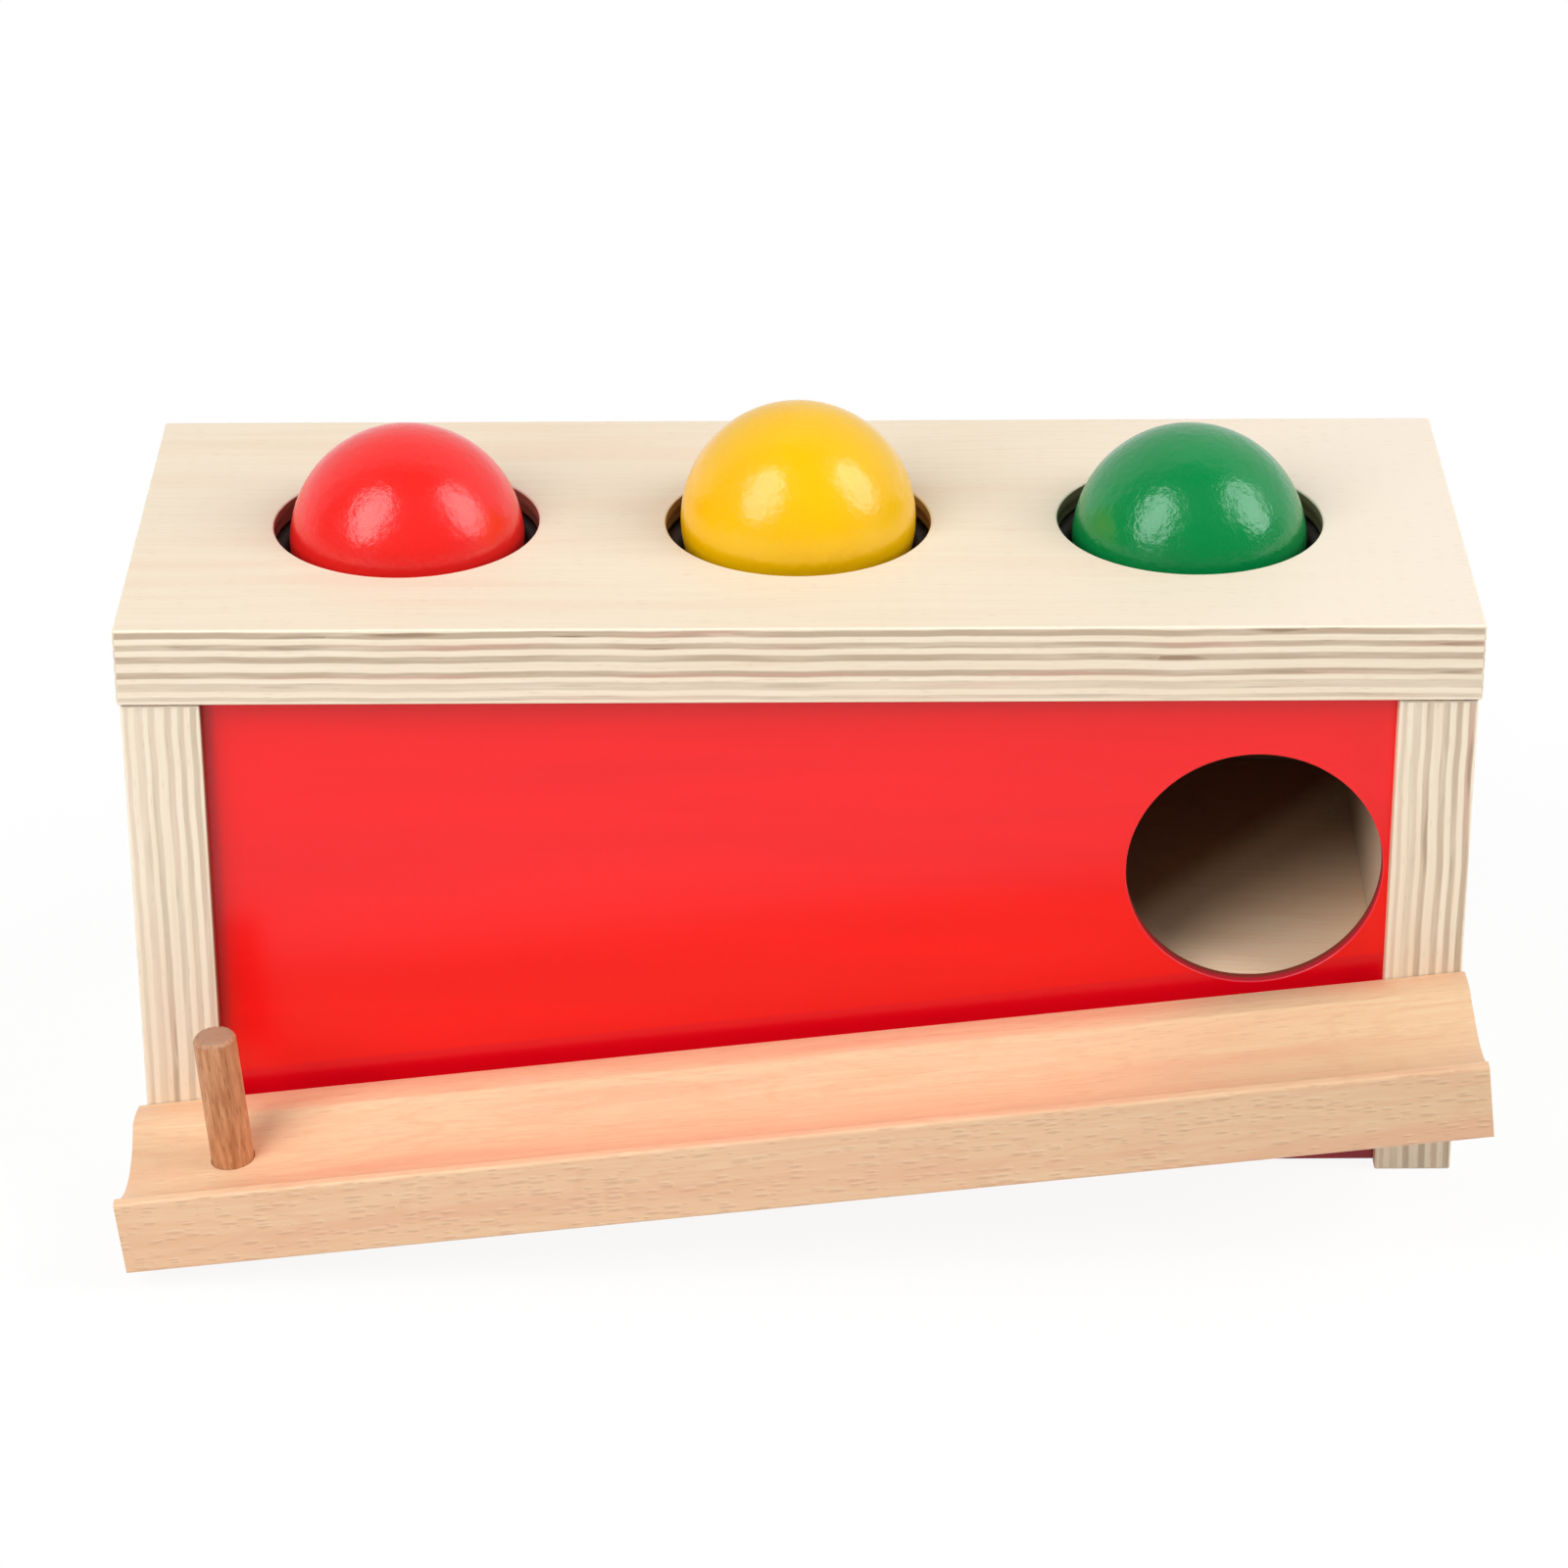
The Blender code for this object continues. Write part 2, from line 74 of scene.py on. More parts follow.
BALL_RADIUS = 25.0 * MM
BORE_RADIUS = 28.15 * MM
BORE_PITCH = 83.2 * MM
RING_DEPTH = 8.0 * MM
RING_SECTION_RADIUS = 2.75 * MM
RUBBER_GAP = 0.3 * MM
EXIT_RADIUS = 26.85 * MM
EXIT_CENTRE = (95.1 * MM, 71.24 * MM)
GLUE_LINE = 0.25 * MM
GROOVE_GAP = 0.3 * MM
HAIR = 0.001 * MM
TRACK_SLOPE = math.radians(6.4)


def middle_of(name):
    low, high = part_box(name)
    return (low + high) / 2


print("top board, mm:", [round(v / MM, 2) for v in plate_high - plate_low])

# %% [markdown]
# ## Camera
#
# A long lens from a little over a metre away, looking down on the toy, keeps its edges nearly parallel.
# The place and the angles come from the straight edges and the round holes of the box: seven
# numbers that make the model's corners fall where the picture has them.

# %% Make the camera
CAMERA_PLACE = Vector((-2.64, -999.17, 590.35)) * MM
CAMERA_YAW = math.radians(-0.035)
CAMERA_PITCH = math.radians(27.146)
CAMERA_ROLL = math.radians(-0.248)
LENS_IN_MM = 120.95


def aimed_camera():
    yaw, pitch, roll = CAMERA_YAW, CAMERA_PITCH, CAMERA_ROLL
    level = Vector((math.cos(yaw), -math.sin(yaw), 0.0))
    ahead = Vector((math.sin(yaw) * math.cos(pitch), math.cos(yaw) * math.cos(pitch), -math.sin(pitch)))
    above = level.cross(ahead)
    right = math.cos(roll) * level + math.sin(roll) * above
    up = math.cos(roll) * above - math.sin(roll) * level
    data = bpy.data.cameras.new("camera")
    data.lens = LENS_IN_MM
    data.sensor_width = 36.0
    data.sensor_fit = "HORIZONTAL"
    data.clip_end = 50.0
    camera = bpy.data.objects.new("camera", data)
    bpy.context.scene.collection.objects.link(camera)
    turn = Matrix((right, up, -ahead)).transposed().to_4x4()
    camera.matrix_world = Matrix.Translation(CAMERA_PLACE) @ turn
    return camera


bpy.context.scene.camera = aimed_camera()
bpy.context.scene.view_settings.view_transform = "Standard"
print("camera to the middle of the box, m:", round((CAMERA_PLACE - Vector((0, 0, 0.08))).length, 3))

# %% [markdown]
# ## Building with nodes
#
# Materials and Geometry Nodes trees are both graphs. Small helpers keep their making short. A socket
# knows the tree that it is in, so a helper that is given one needs no tree.

# %% Helpers for node trees
def fill(socket, value):
    """Links an output to the socket, or writes a plain value into it."""
    if isinstance(value, bpy.types.NodeSocket):
        socket.id_data.links.new(value, socket)
    else:
        socket.default_value = value


def node(tree, kind, numbered=None, **named):
    """Adds a node. A name with a capital letter is an input's, any other name is a setting's."""
    made = tree.nodes.new(kind)
    inputs = dict(numbered or {})
    for name, value in named.items():
        if name[0].isupper():
            inputs[name.replace("_", " ")] = value
        else:
            setattr(made, name, value)
    for key, value in inputs.items():
        fill(made.inputs[key], value)
    return made


def tree_of(*values):
    """The tree of the first socket among the values."""
    return next(value.id_data for value in values if isinstance(value, bpy.types.NodeSocket))


def calc(operation, *values, clamp=False):
    inputs = dict(enumerate(values))
    return node(tree_of(*values), "ShaderNodeMath", inputs, operation=operation, use_clamp=clamp).outputs[0]


def times(first, second, clamp=False):
    return calc("MULTIPLY", first, second, clamp=clamp)


def plus(first, second):
    return calc("ADD", first, second)


def minus(first, second, clamp=False):
    return calc("SUBTRACT", first, second, clamp=clamp)


def over(first, second):
    return calc("DIVIDE", first, second)


def vector_calc(operation, *values):
    inputs = dict(enumerate(values))
    return node(tree_of(*values), "ShaderNodeVectorMath", inputs, operation=operation).outputs["Vector"]


def parts_of(vector):
    return node(tree_of(vector), "ShaderNodeSeparateXYZ", Vector=vector).outputs


def joined(x, y, z):
    return node(tree_of(x, y, z), "ShaderNodeCombineXYZ", X=x, Y=y, Z=z).outputs["Vector"]


def shifted_by(vector, seed):
    """Moves a pattern along all three axes, so that another seed shows another part of it."""
    return vector_calc("ADD", vector, joined(seed, seed, seed))


def noise(vector, scale=1.0, detail=2.0, roughness=0.5):
    inputs = {"Vector": vector, "Scale": scale, "Detail": detail, "Roughness": roughness}
    return node(tree_of(vector), "ShaderNodeTexNoise", inputs).outputs["Fac"]


def remap(value, low, high, to_low=0.0, to_high=1.0):
    """A smooth step from one range to another."""
    inputs = {"Value": value, "From Min": low, "From Max": high, "To Min": to_low, "To Max": to_high}
    made = node(tree_of(value), "ShaderNodeMapRange", inputs, interpolation_type="SMOOTHSTEP")
    return made.outputs["Result"]


def blend(factor, first, second, mode="MIX"):
    inputs = {0: factor, 6: first, 7: second}
    made = node(tree_of(factor, first, second), "ShaderNodeMix", inputs, data_type="RGBA", blend_type=mode)
    return made.outputs[2]


SOCKET_KINDS = {float: "Float", int: "Int"}


def new_group(name, outputs, kind="Shader", **inputs):
    """An empty group, with its own inputs and outputs. An input is given by its value or its kind."""
    group = bpy.data.node_groups.new(name, kind + "NodeTree")
    for word, value in inputs.items():
        sort = "NodeSocket" + SOCKET_KINDS.get(type(value), value)
        socket = group.interface.new_socket(word.replace("_", " "), in_out="INPUT", socket_type=sort)
        if not isinstance(value, str):
            socket.default_value = value
    sort = {"Shader": "NodeSocketFloat", "Geometry": "NodeSocketGeometry"}[kind]
    for word in outputs:
        group.interface.new_socket(word, in_out="OUTPUT", socket_type=sort)
    return group, node(group, "NodeGroupInput").outputs, node(group, "NodeGroupOutput").inputs


def use(group, **inputs):
    """Places a shader group in the tree that its inputs come from and returns its outputs."""
    return node(tree_of(*inputs.values()), "ShaderNodeGroup", node_tree=group, **inputs).outputs


def shade(red, green, blue):
    """A colour given as a screen shows it, 0 to 255, turned into the linear values that nodes use."""
    linear = [((v / 255 + 0.055) / 1.055) ** 2.4 if v > 10 else v / 255 / 12.92 for v in (red, green, blue)]
    return (*linear, 1.0)


print("cream as a node colour:", [round(v, 3) for v in shade(250, 236, 212)[:3]])

# %% [markdown]
# ## Light, background and floor
#
# Toys like this are shot on white, between two tall softboxes, with a white ceiling and backdrop
# behind. On the balls that gives two soft spots and a pale top edge. A softbox is an area lamp, and
# its brightness is what a mirror would see in it. The rest of the studio is the world. A white
# backdrop hangs behind the toy, so the camera sees plain white, and shiny surfaces a pale backdrop
# that dims towards the ceiling, with a dark room in front. Matt surfaces get an even fill from it.

# %% Softboxes
AIM = Vector((0.0, 0.0, 0.09))


def softbox(name, towards, distance, width, height, brightness):
    """An oval lamp that faces the toy. The brightness is its radiance, so it doesn't change with its size."""
    data = bpy.data.lights.new(name, "AREA")
    data.shape = "ELLIPSE"
    data.size = width
    data.size_y = height
    data.energy = brightness * math.pi * (math.pi / 4 * width * height)
    lamp = bpy.data.objects.new(name, data)
    bpy.context.scene.collection.objects.link(lamp)
    direction = Vector(towards).normalized()
    lamp.location = AIM + direction * distance
    lamp.rotation_euler = direction.to_track_quat("Z", "Y").to_euler()
    return lamp


# name, direction from the toy, distance, width, height, brightness
SOFTBOXES = (
    ("softbox_left", (-0.556, -0.510, 0.653), 2.0, 1.205, 1.92, 5.0),
    ("softbox_right", (0.804, -0.142, 0.579), 2.0, 1.107, 1.80, 4.75),
)
for values in SOFTBOXES:
    softbox(*values)

# %% The studio around
WHITE = (1.0, 1.0, 1.0, 1.0)
HORIZON = (0.85, 0.85, 0.85, 1.0)
CEILING = (0.74, 0.74, 0.74, 1.0)
DARK_FRONT = (0.04, 0.04, 0.04, 1.0)
FILL = (0.32, 0.32, 0.32, 1.0)
world = bpy.data.worlds.new("studio")
bpy.context.scene.world = world
world.use_nodes = True
sky = world.node_tree
sky.nodes.clear()
direction = node(sky, "ShaderNodeTexCoord").outputs["Generated"]
towards = parts_of(direction)
behind = remap(towards["Y"], 0.0, 0.45)
ceiling = blend(remap(towards["Z"], 0.15, 0.8), HORIZON, CEILING)
mirrored = blend(behind, DARK_FRONT, ceiling)
rays = node(sky, "ShaderNodeLightPath").outputs
shiny = calc("MAXIMUM", rays["Is Glossy Ray"], rays["Is Transmission Ray"])
around = blend(shiny, FILL, mirrored)
around = blend(rays["Is Camera Ray"], around, WHITE)
backdrop = node(sky, "ShaderNodeBackground", Color=around, Strength=1.0).outputs[0]
node(sky, "ShaderNodeOutputWorld", Surface=backdrop)

# %% [markdown]
# The floor is a wide sheet of white card. Most of what the camera and shiny surfaces see of it near
# the toy is plain white, and all of it further off, so it ends as clean as the backdrop while a
# trace of the toy's soft shadow stays. Matt surfaces get a little less light back from it.

# %% Floor
FLOOR_SIDE = 12.0
FLOOR_DROP = 0.05 * MM
CARD_WHITENESS = 0.91
CARD_BOUNCE = (0.83, 0.83, 0.83, 1.0)
SHADOW_REACH = 0.32


def new_material(name, **values):
    """A material with one Principled shader. Plain numbers go straight on the shader's own sockets."""
    material = bpy.data.materials.new(name)
    material.use_nodes = True
    tree = material.node_tree
    surface = tree.nodes["Principled BSDF"].inputs
    for socket, value in values.items():
        surface[socket.replace("_", " ")].default_value = value
    return material, surface, node(tree, "ShaderNodeTexCoord").outputs


card, surface, place = new_material("white_card", Roughness=0.7)
tree = card.node_tree
rays = node(tree, "ShaderNodeLightPath").outputs
watched = calc("MAXIMUM", rays["Is Camera Ray"], rays["Is Glossy Ray"])
watched = calc("MAXIMUM", watched, rays["Is Transmission Ray"])
fill(surface["Base Color"], blend(watched, CARD_BOUNCE, WHITE))
from_toy = node(tree, "ShaderNodeVectorMath", {0: place["Object"]}, operation="LENGTH").outputs["Value"]
fading = remap(from_toy, 0.5 * SHADOW_REACH, SHADOW_REACH, CARD_WHITENESS, 1.0)
plain = node(tree, "ShaderNodeEmission", Color=WHITE, Strength=1.0).outputs[0]
lit = tree.nodes["Principled BSDF"].outputs[0]
mixed = node(tree, "ShaderNodeMixShader", {0: times(watched, fading), 1: lit, 2: plain})
fill(tree.nodes["Material Output"].inputs["Surface"], mixed.outputs[0])

sheet = bpy.data.meshes.new("floor")
half = FLOOR_SIDE / 2
corners = [(x * half, y * half, -FLOOR_DROP) for x, y in ((-1, -1), (1, -1), (1, 1), (-1, 1))]
sheet.from_pydata(corners, [], [(0, 1, 2, 3)])
sheet.materials.append(card)
floor = bpy.data.objects.new("floor", sheet)
bpy.context.scene.collection.objects.link(floor)

# %% [markdown]
# ## Shared surface effects
#
# Several finishes need the same effect with other numbers, so each effect is a node group with named
# inputs. The groups put out masks and heights only, and each material decides on the colours.
#
# **Wood fibre.** Wood is a bundle of long cells. Noise that is stretched along the fibre, with lines
# that wander a little, looks like it from every side. The growth lines are contours of a very slow
# noise, so they run in long arches, as where a plane cuts the year rings. The group's own X axis runs
# along the fibre.

# %% Group: wood fibre
SWAY_SCALE = 14.0
# how much finer than the streaks, along the fibre and across it
BAND_SCALE = (0.4, 0.11, 0.11)
FINE_SCALE = (3.0, 3.2, 3.2)
ARCH_SCALE = (0.55, 0.06, 0.06)
LINES_PER_ARCH = 75.0
fibre, given, made = new_group(
    "wood fibre", ("Streaks", "Bands", "Fine", "Growth Lines"),
    Vector="Vector", Length=0.06, Width=0.0015, Wander=0.003, Seed=0.0,
)
shifted = shifted_by(given["Vector"], given["Seed"])
sway = times(minus(noise(shifted, SWAY_SCALE, 1.0), 0.5), given["Wander"])
lines = vector_calc("ADD", shifted, joined(0.0, sway, sway))
cell = joined(given["Length"], given["Width"], given["Width"])
stretched = vector_calc("DIVIDE", lines, cell)
fill(made["Streaks"], noise(stretched, 1.0, 4.0, 0.62))
fill(made["Bands"], noise(vector_calc("MULTIPLY", stretched, BAND_SCALE), 1.0, 2.0, 0.5))
fill(made["Fine"], noise(vector_calc("MULTIPLY", stretched, FINE_SCALE), 1.0, 2.0, 0.6))
arches = noise(vector_calc("MULTIPLY", stretched, ARCH_SCALE), 1.0, 1.0)
contour = calc("SINE", times(arches, LINES_PER_ARCH))
fill(made["Growth Lines"], remap(contour, 0.55, 1.0))

# %% [markdown]
# **Short marks.** Beech shows short dark dashes, birch shows fine pores. Both are cells of a Voronoi
# pattern, stretched along the fibre and cut to a part of each cell, so that they stay apart.

# %% Group: short marks
marks, given, made = new_group(
    "short marks", ("Mask",),
    Vector="Vector", Length=0.003, Width=0.0006, Share=0.35, Seed=0.0,
)
shifted = shifted_by(given["Vector"], given["Seed"])
stretched = vector_calc("DIVIDE", shifted, joined(given["Length"], given["Width"], given["Width"]))
cells = node(marks, "ShaderNodeTexVoronoi", Vector=stretched, Scale=1.0, Randomness=1.0).outputs
chance = node(marks, "ShaderNodeSeparateColor", Color=cells["Color"]).outputs["Red"]
reach = times(calc("POWER", chance, 1.6), given["Share"])
inside = over(minus(reach, cells["Distance"]), times(reach, 0.5))
fill(made["Mask"], times(inside, 1.0, clamp=True))

# %% [markdown]
# **Plies.** Birch plywood is thin sheets glued crosswise. On a cut edge every second sheet shows its
# fibres end on and looks darker. The pattern is solid: it depends on how deep a point lies in the
# board, so bores and all edges show the same sheets. On the side turned by a quarter the light and
# the dark sheets change places. Z is the depth, and X the fibre direction of the face.

# %% Group: plies
# where each sheet starts and ends, as a share of the thickness, and how dark its ends are
SHEETS = (
    (0.000, 0.050, 0.00), (0.050, 0.105, 0.50), (0.105, 0.180, 0.00), (0.180, 0.290, 0.45),
    (0.290, 0.355, 0.00), (0.355, 0.438, 0.95), (0.438, 0.560, 0.05), (0.560, 0.648, 0.90),
    (0.648, 0.728, 0.00), (0.728, 0.805, 0.90), (0.805, 0.885, 0.00), (0.885, 0.968, 1.00),
    (0.968, 1.000, 0.00),
)
SHEET_EDGE = 0.010
SHEET_WAVE = 1.7 * MM
BLOTCH_SCALE = (34.0, 34.0, 560.0)
HUE_SCALE = (19.0, 19.0, 430.0)
plies, given, made = new_group(
    "plies", ("End Grain", "Blotches", "Hue"),
    Vector="Vector", Facing="Vector", Thickness=0.0155, Seed=0.0,
)
at = parts_of(given["Vector"])
along = joined(plus(at["X"], given["Seed"]), plus(at["Y"], given["Seed"]), 0.0)
wave = times(minus(noise(along, 26.0, 2.0, 0.6), 0.5), SHEET_WAVE)
depth = over(plus(at["Z"], wave), given["Thickness"])
ramp = node(plies, "ShaderNodeValToRGB", Fac=depth)
stops = ramp.color_ramp.elements
for low, high, darkness in SHEETS:
    for position in (low + SHEET_EDGE, high - SHEET_EDGE):
        stop = stops.new(min(max(position, 0.001), 0.999))
        stop.color = (darkness, darkness, darkness, 1.0)
stops.remove(stops[0])
stops.remove(stops[-1])
side = calc("ABSOLUTE", parts_of(given["Facing"])["X"])
inner = times(remap(depth, 0.03, 0.05), remap(depth, 0.97, 0.95))
crosswise = times(minus(1.0, ramp.outputs["Color"]), inner)
inputs = {0: side, 2: ramp.outputs["Color"], 3: crosswise}
sheets = node(plies, "ShaderNodeMix", inputs, data_type="FLOAT")
shifted = vector_calc("ADD", given["Vector"], joined(given["Seed"], given["Seed"], 0.0))
fill(made["End Grain"], sheets.outputs[0])
fill(made["Blotches"], noise(vector_calc("MULTIPLY", shifted, BLOTCH_SCALE), 1.0, 3.0, 0.6))
fill(made["Hue"], noise(vector_calc("MULTIPLY", shifted, HUE_SCALE), 1.0, 1.0))
print("sheets in the plywood:", len(SHEETS), "in", round(plate_thickness / MM, 1), "mm")

# %% [markdown]
# **Worn edges.** Hands and sandpaper reach edges first: raw wood goes pale there, and lacquer thins.
# The distance to the nearest edge of a straight board is the middle one of the three distances to
# its pairs of faces, so it can be worked out from the board's two corners. The second output says
# how far a point lies inside the board's outline, as the wall of a bore does.

# %% Group: worn edges
wear, given, made = new_group(
    "worn edges", ("Mask", "Inside"),
    Vector="Vector", Low="Vector", High="Vector", Width=0.001,
)
from_low = vector_calc("ABSOLUTE", vector_calc("SUBTRACT", given["Vector"], given["Low"]))
from_high = vector_calc("ABSOLUTE", vector_calc("SUBTRACT", given["High"], given["Vector"]))
nearest = parts_of(vector_calc("MINIMUM", from_low, from_high))
lesser = calc("MINIMUM", nearest["X"], nearest["Y"])
greater = calc("MAXIMUM", nearest["X"], nearest["Y"])
from_edge = calc("MAXIMUM", lesser, calc("MINIMUM", greater, nearest["Z"]))
fill(made["Inside"], lesser)
ragged = remap(noise(given["Vector"], 190.0, 3.0, 0.6), 0.25, 0.75, 0.3, 1.5)
ragged = times(given["Width"], ragged)
fill(made["Mask"], minus(1.0, over(from_edge, ragged), clamp=True))

# %% [markdown]
# **Lacquer skin.** Sprayed lacquer dries with a fine unevenness, like the skin of an orange, over
# broader dips. It is seen only in the highlights. The group gives one height for the bump and a slow
# mask for patches that are a little duller.

# %% Group: lacquer skin
skin, given, made = new_group(
    "lacquer skin", ("Height", "Dull Patches"),
    Vector="Vector", Peel_Size=0.0013, Dip_Size=0.009, Dips=0.5, Seed=0.0,
)
shifted = shifted_by(given["Vector"], given["Seed"])
peel = noise(shifted, over(1.0, given["Peel Size"]), 2.0, 0.55)
dips = noise(shifted, over(1.0, given["Dip Size"]), 1.0)
fill(made["Height"], plus(peel, times(dips, given["Dips"])))
fill(made["Dull Patches"], remap(noise(shifted, 70.0, 3.0, 0.6), 0.35, 0.7))

# %% [markdown]
# ## Finishes
#
# A board has its own frame: along the fibre of its face, across it, and through its thickness. Two
# helpers turn the object's coordinates and its normals into that frame: the first is told which axis
# of the toy comes first, second and third, and the second follows the track's slope. The last helper
# gives the shader its colour, its roughness and a relief.

# %% Helpers for finishes
def board_frame(vector, order, origin=(0.0, 0.0, 0.0)):
    at = parts_of(vector_calc("SUBTRACT", vector, origin))
    return joined(*(at[axis] for axis in order))


def level_frame(vector):
    """Turns the track's slope level, so that X runs down the track."""
    turn = (0.0, TRACK_SLOPE, 0.0)
    return node(tree_of(vector), "ShaderNodeMapping", Vector=vector, Rotation=turn).outputs["Vector"]


def dress(surface, colour, roughness, height, depth):
    """Colour, roughness and a relief, whose height of 0 to 1 counts times a depth in metres."""
    fill(surface["Base Color"], colour)
    fill(surface["Roughness"], roughness)
    bump = node(tree_of(height), "ShaderNodeBump", Height=height, Distance=depth, Strength=1.0)
    fill(surface["Normal"], bump.outputs["Normal"])


# %% [markdown]
# ** Birch plywood.** The face is creamy, with faint long streaks and hair-fine pores, under a thin
# matt varnish, and it is painted whiter to the right as painted light. The edges show the plies: cream
# where the fibres run along, grey-brown to pink where they are cut across. The walls of the bores are
# a darker brown. Rounded edges carry a painted highlight besides pale wear. Faces that look into the
# box are painted darker as painted shade: less on the right end board by the exit hole, most under the
# top and at the closed end. One recipe serves the top board and both end boards.

# %% Finish: birch plywood
FACE_LIGHT = shade(246, 231, 207)
FACE_DARK = shade(243, 225, 199)
FACE_BAND = shade(243, 218, 192)
FACE_PAINTED_LIGHT = shade(250, 236, 217)
SHEET_LIGHT = shade(250, 238, 216)
SHEET_GREY = shade(196, 176, 151)
SHEET_PINK = shade(205, 168, 148)
SHEET_LENS = shade(150, 124, 98)
BORE_WALL_BROWN = shade(142, 104, 84)
INNER_LIGHT_SHADE = shade(232, 204, 176)
INNER_DEEP_SHADE = shade(140, 104, 76)
PORE = shade(190, 150, 112)
EDGE_WEAR_AND_HIGHLIGHT = shade(255, 245, 224)
PAINTED_LIGHT_RANGE = (30.0 * MM, 140.0 * MM)


def birch_plywood(name, order, inner_side, inner, low, high, contrast, seed):
    """The inner side is the sign of the face, along the board's thickness, that looks into the box."""
    material, surface, place = new_material(name, Roughness=0.5, Specular_IOR_Level=0.4)
    board = board_frame(place["Object"], order, tuple(low))
    facing = board_frame(place["Normal"], order)
    outwards = parts_of(facing)["Z"]
    thickness = (high - low)["XYZ".index(order[2])]
    grain = use(fibre, Vector=board, Length=0.05, Width=0.0011, Wander=0.004, Seed=seed)
    stack = use(plies, Vector=board, Facing=facing, Thickness=thickness, Seed=seed)
    pores = use(marks, Vector=board, Length=0.0045, Width=0.0004, Share=0.36, Seed=seed)["Mask"]
    lenses = use(marks, Vector=board, Length=0.02, Width=0.0016, Share=0.52, Seed=seed + 9)["Mask"]
    rims = use(wear, Vector=place["Object"], Low=tuple(low), High=tuple(high), Width=0.0007)

    # the cut edges: sheets along and across, and the darker brown walls of the bores
    light = blend(remap(grain["Streaks"], 0.3, 0.8), SHEET_LIGHT, FACE_DARK)
    dark = blend(remap(stack["Hue"], 0.52, 0.7), SHEET_GREY, SHEET_PINK)
    dark = blend(times(lenses, 0.8), dark, SHEET_LENS)
    depth = times(stack["End Grain"], remap(stack["Blotches"], 0.25, 0.65, 0.6, 1.15))
    depth = times(depth, contrast, clamp=True)
    upright = remap(calc("ABSOLUTE", parts_of(place["Normal"])["Z"]), 0.7, 0.2)
    deep = times(upright, remap(rims["Inside"], 0.0015, 0.004, 0.0, 0.85))
    deep = times(deep, remap(stack["Blotches"], 0.25, 0.6, 0.75, 1.0))
    edges = blend(1.0, blend(depth, light, dark), blend(deep, WHITE, BORE_WALL_BROWN), "MULTIPLY")

    # the faces: faint streaks and bands, painted light that whitens them to the right, and painted shade on
    # the faces that look into the box
    face = blend(remap(grain["Streaks"], 0.35, 0.75), FACE_LIGHT, FACE_DARK)
    face = blend(remap(grain["Bands"], 0.5, 0.72, 0.0, 0.65), face, FACE_BAND)
    # painted light: the faces are painted whiter towards the right end
    face = blend(remap(parts_of(place["Object"])["X"], *PAINTED_LIGHT_RANGE), face, FACE_PAINTED_LIGHT)
    # painted shade: faces that look into the box take the inner colour, a darker tone for the shade inside
    face = blend(remap(times(outwards, inner_side), 0.6, 0.9), face, inner)

    colour = blend(remap(calc("ABSOLUTE", outwards), 0.55, 0.8), edges, face)
    colour = blend(times(pores, 0.22), colour, PORE)
    # painted highlight on the rounded edges, found by their tilted normals, mixed with pale wear near the
    # outline
    rounded = times(remap(outwards, 0.985, 0.93), remap(outwards, 0.3, 0.5))
    wear_and_highlight = calc("MAXIMUM", times(rims["Mask"], 0.25), times(rounded, 0.6))
    colour = blend(wear_and_highlight, colour, EDGE_WEAR_AND_HIGHLIGHT)
    relief = minus(minus(grain["Streaks"], times(depth, 0.8)), times(pores, 0.5))
    dress(surface, colour, remap(grain["Fine"], 0.2, 0.8, 0.42, 0.6), relief, 0.025 * MM)
    return material


# the inner colours are painted shade: deep under the top and at the left end, lighter on the right end board
birch_top = birch_plywood("birch_plywood_top", "XYZ", -1, INNER_DEEP_SHADE, plate_low, plate_high, 1.0, 0.0)
birch_left = birch_plywood("birch_plywood_left", "ZYX", 1, INNER_DEEP_SHADE, left_low, left_high, 0.6, 3.1)
birch_right = birch_plywood("birch_plywood_right", "ZYX", -1, INNER_LIGHT_SHADE, right_low, right_high, 0.8, 7.7)

# %% [markdown]
# ** Beech.** A warm, even wood with pinkish bands and short dark dashes, which are its rays cut
# lengthwise. Each dash is a shallow dent with a painted highlight on its far rim, so the same pattern
# is laid twice, a little apart. The ends show the rays as dots. The track is planed and waxed, with a
# soft shine. The front faces and the high end are painted a shade darker, as painted shade.

# %% Finish: beech
BEECH_LIGHT = shade(245, 210, 169)
BEECH_WARM = shade(241, 199, 158)
BEECH_PINK = shade(240, 189, 152)
BEECH_FRONT_SHADE = shade(249, 246, 246)
BEECH_HIGH_END_SHADE = shade(247, 249, 248)
BEECH_DASH = shade(204, 152, 114)
BEECH_GLINT_HIGHLIGHT = shade(254, 226, 192)
BEECH_LINE = shade(232, 176, 136)
BEECH_END = shade(226, 172, 130)

BEECH_RAY = {"Length": 0.0038, "Width": 0.0008, "Share": 0.74, "Seed": 2.0}
GLINT_OFFSET = (0.4 * MM, 0.0, 0.4 * MM)

beech, surface, place = new_material("beech_waxed", Roughness=0.4, Specular_IOR_Level=0.45)
level = level_frame(place["Object"])
facing = parts_of(level_frame(place["Normal"]))
front = remap(calc("ABSOLUTE", facing["Y"]), 0.5, 0.9)
end = remap(calc("ABSOLUTE", facing["X"]), 0.6, 0.9)
grain = use(fibre, Vector=level, Length=0.045, Width=0.0009, Wander=0.005, Seed=1.7)
dashes = use(marks, Vector=level, **BEECH_RAY)["Mask"]
glints = use(marks, Vector=vector_calc("SUBTRACT", level, GLINT_OFFSET), **BEECH_RAY)["Mask"]
strength = plus(times(front, 0.22), 0.12)
colour = blend(remap(grain["Streaks"], 0.3, 0.75), BEECH_LIGHT, BEECH_WARM)
colour = blend(remap(grain["Bands"], 0.48, 0.66, 0.0, 0.75), colour, BEECH_PINK)
colour = blend(times(grain["Growth Lines"], 0.2), colour, BEECH_LINE)
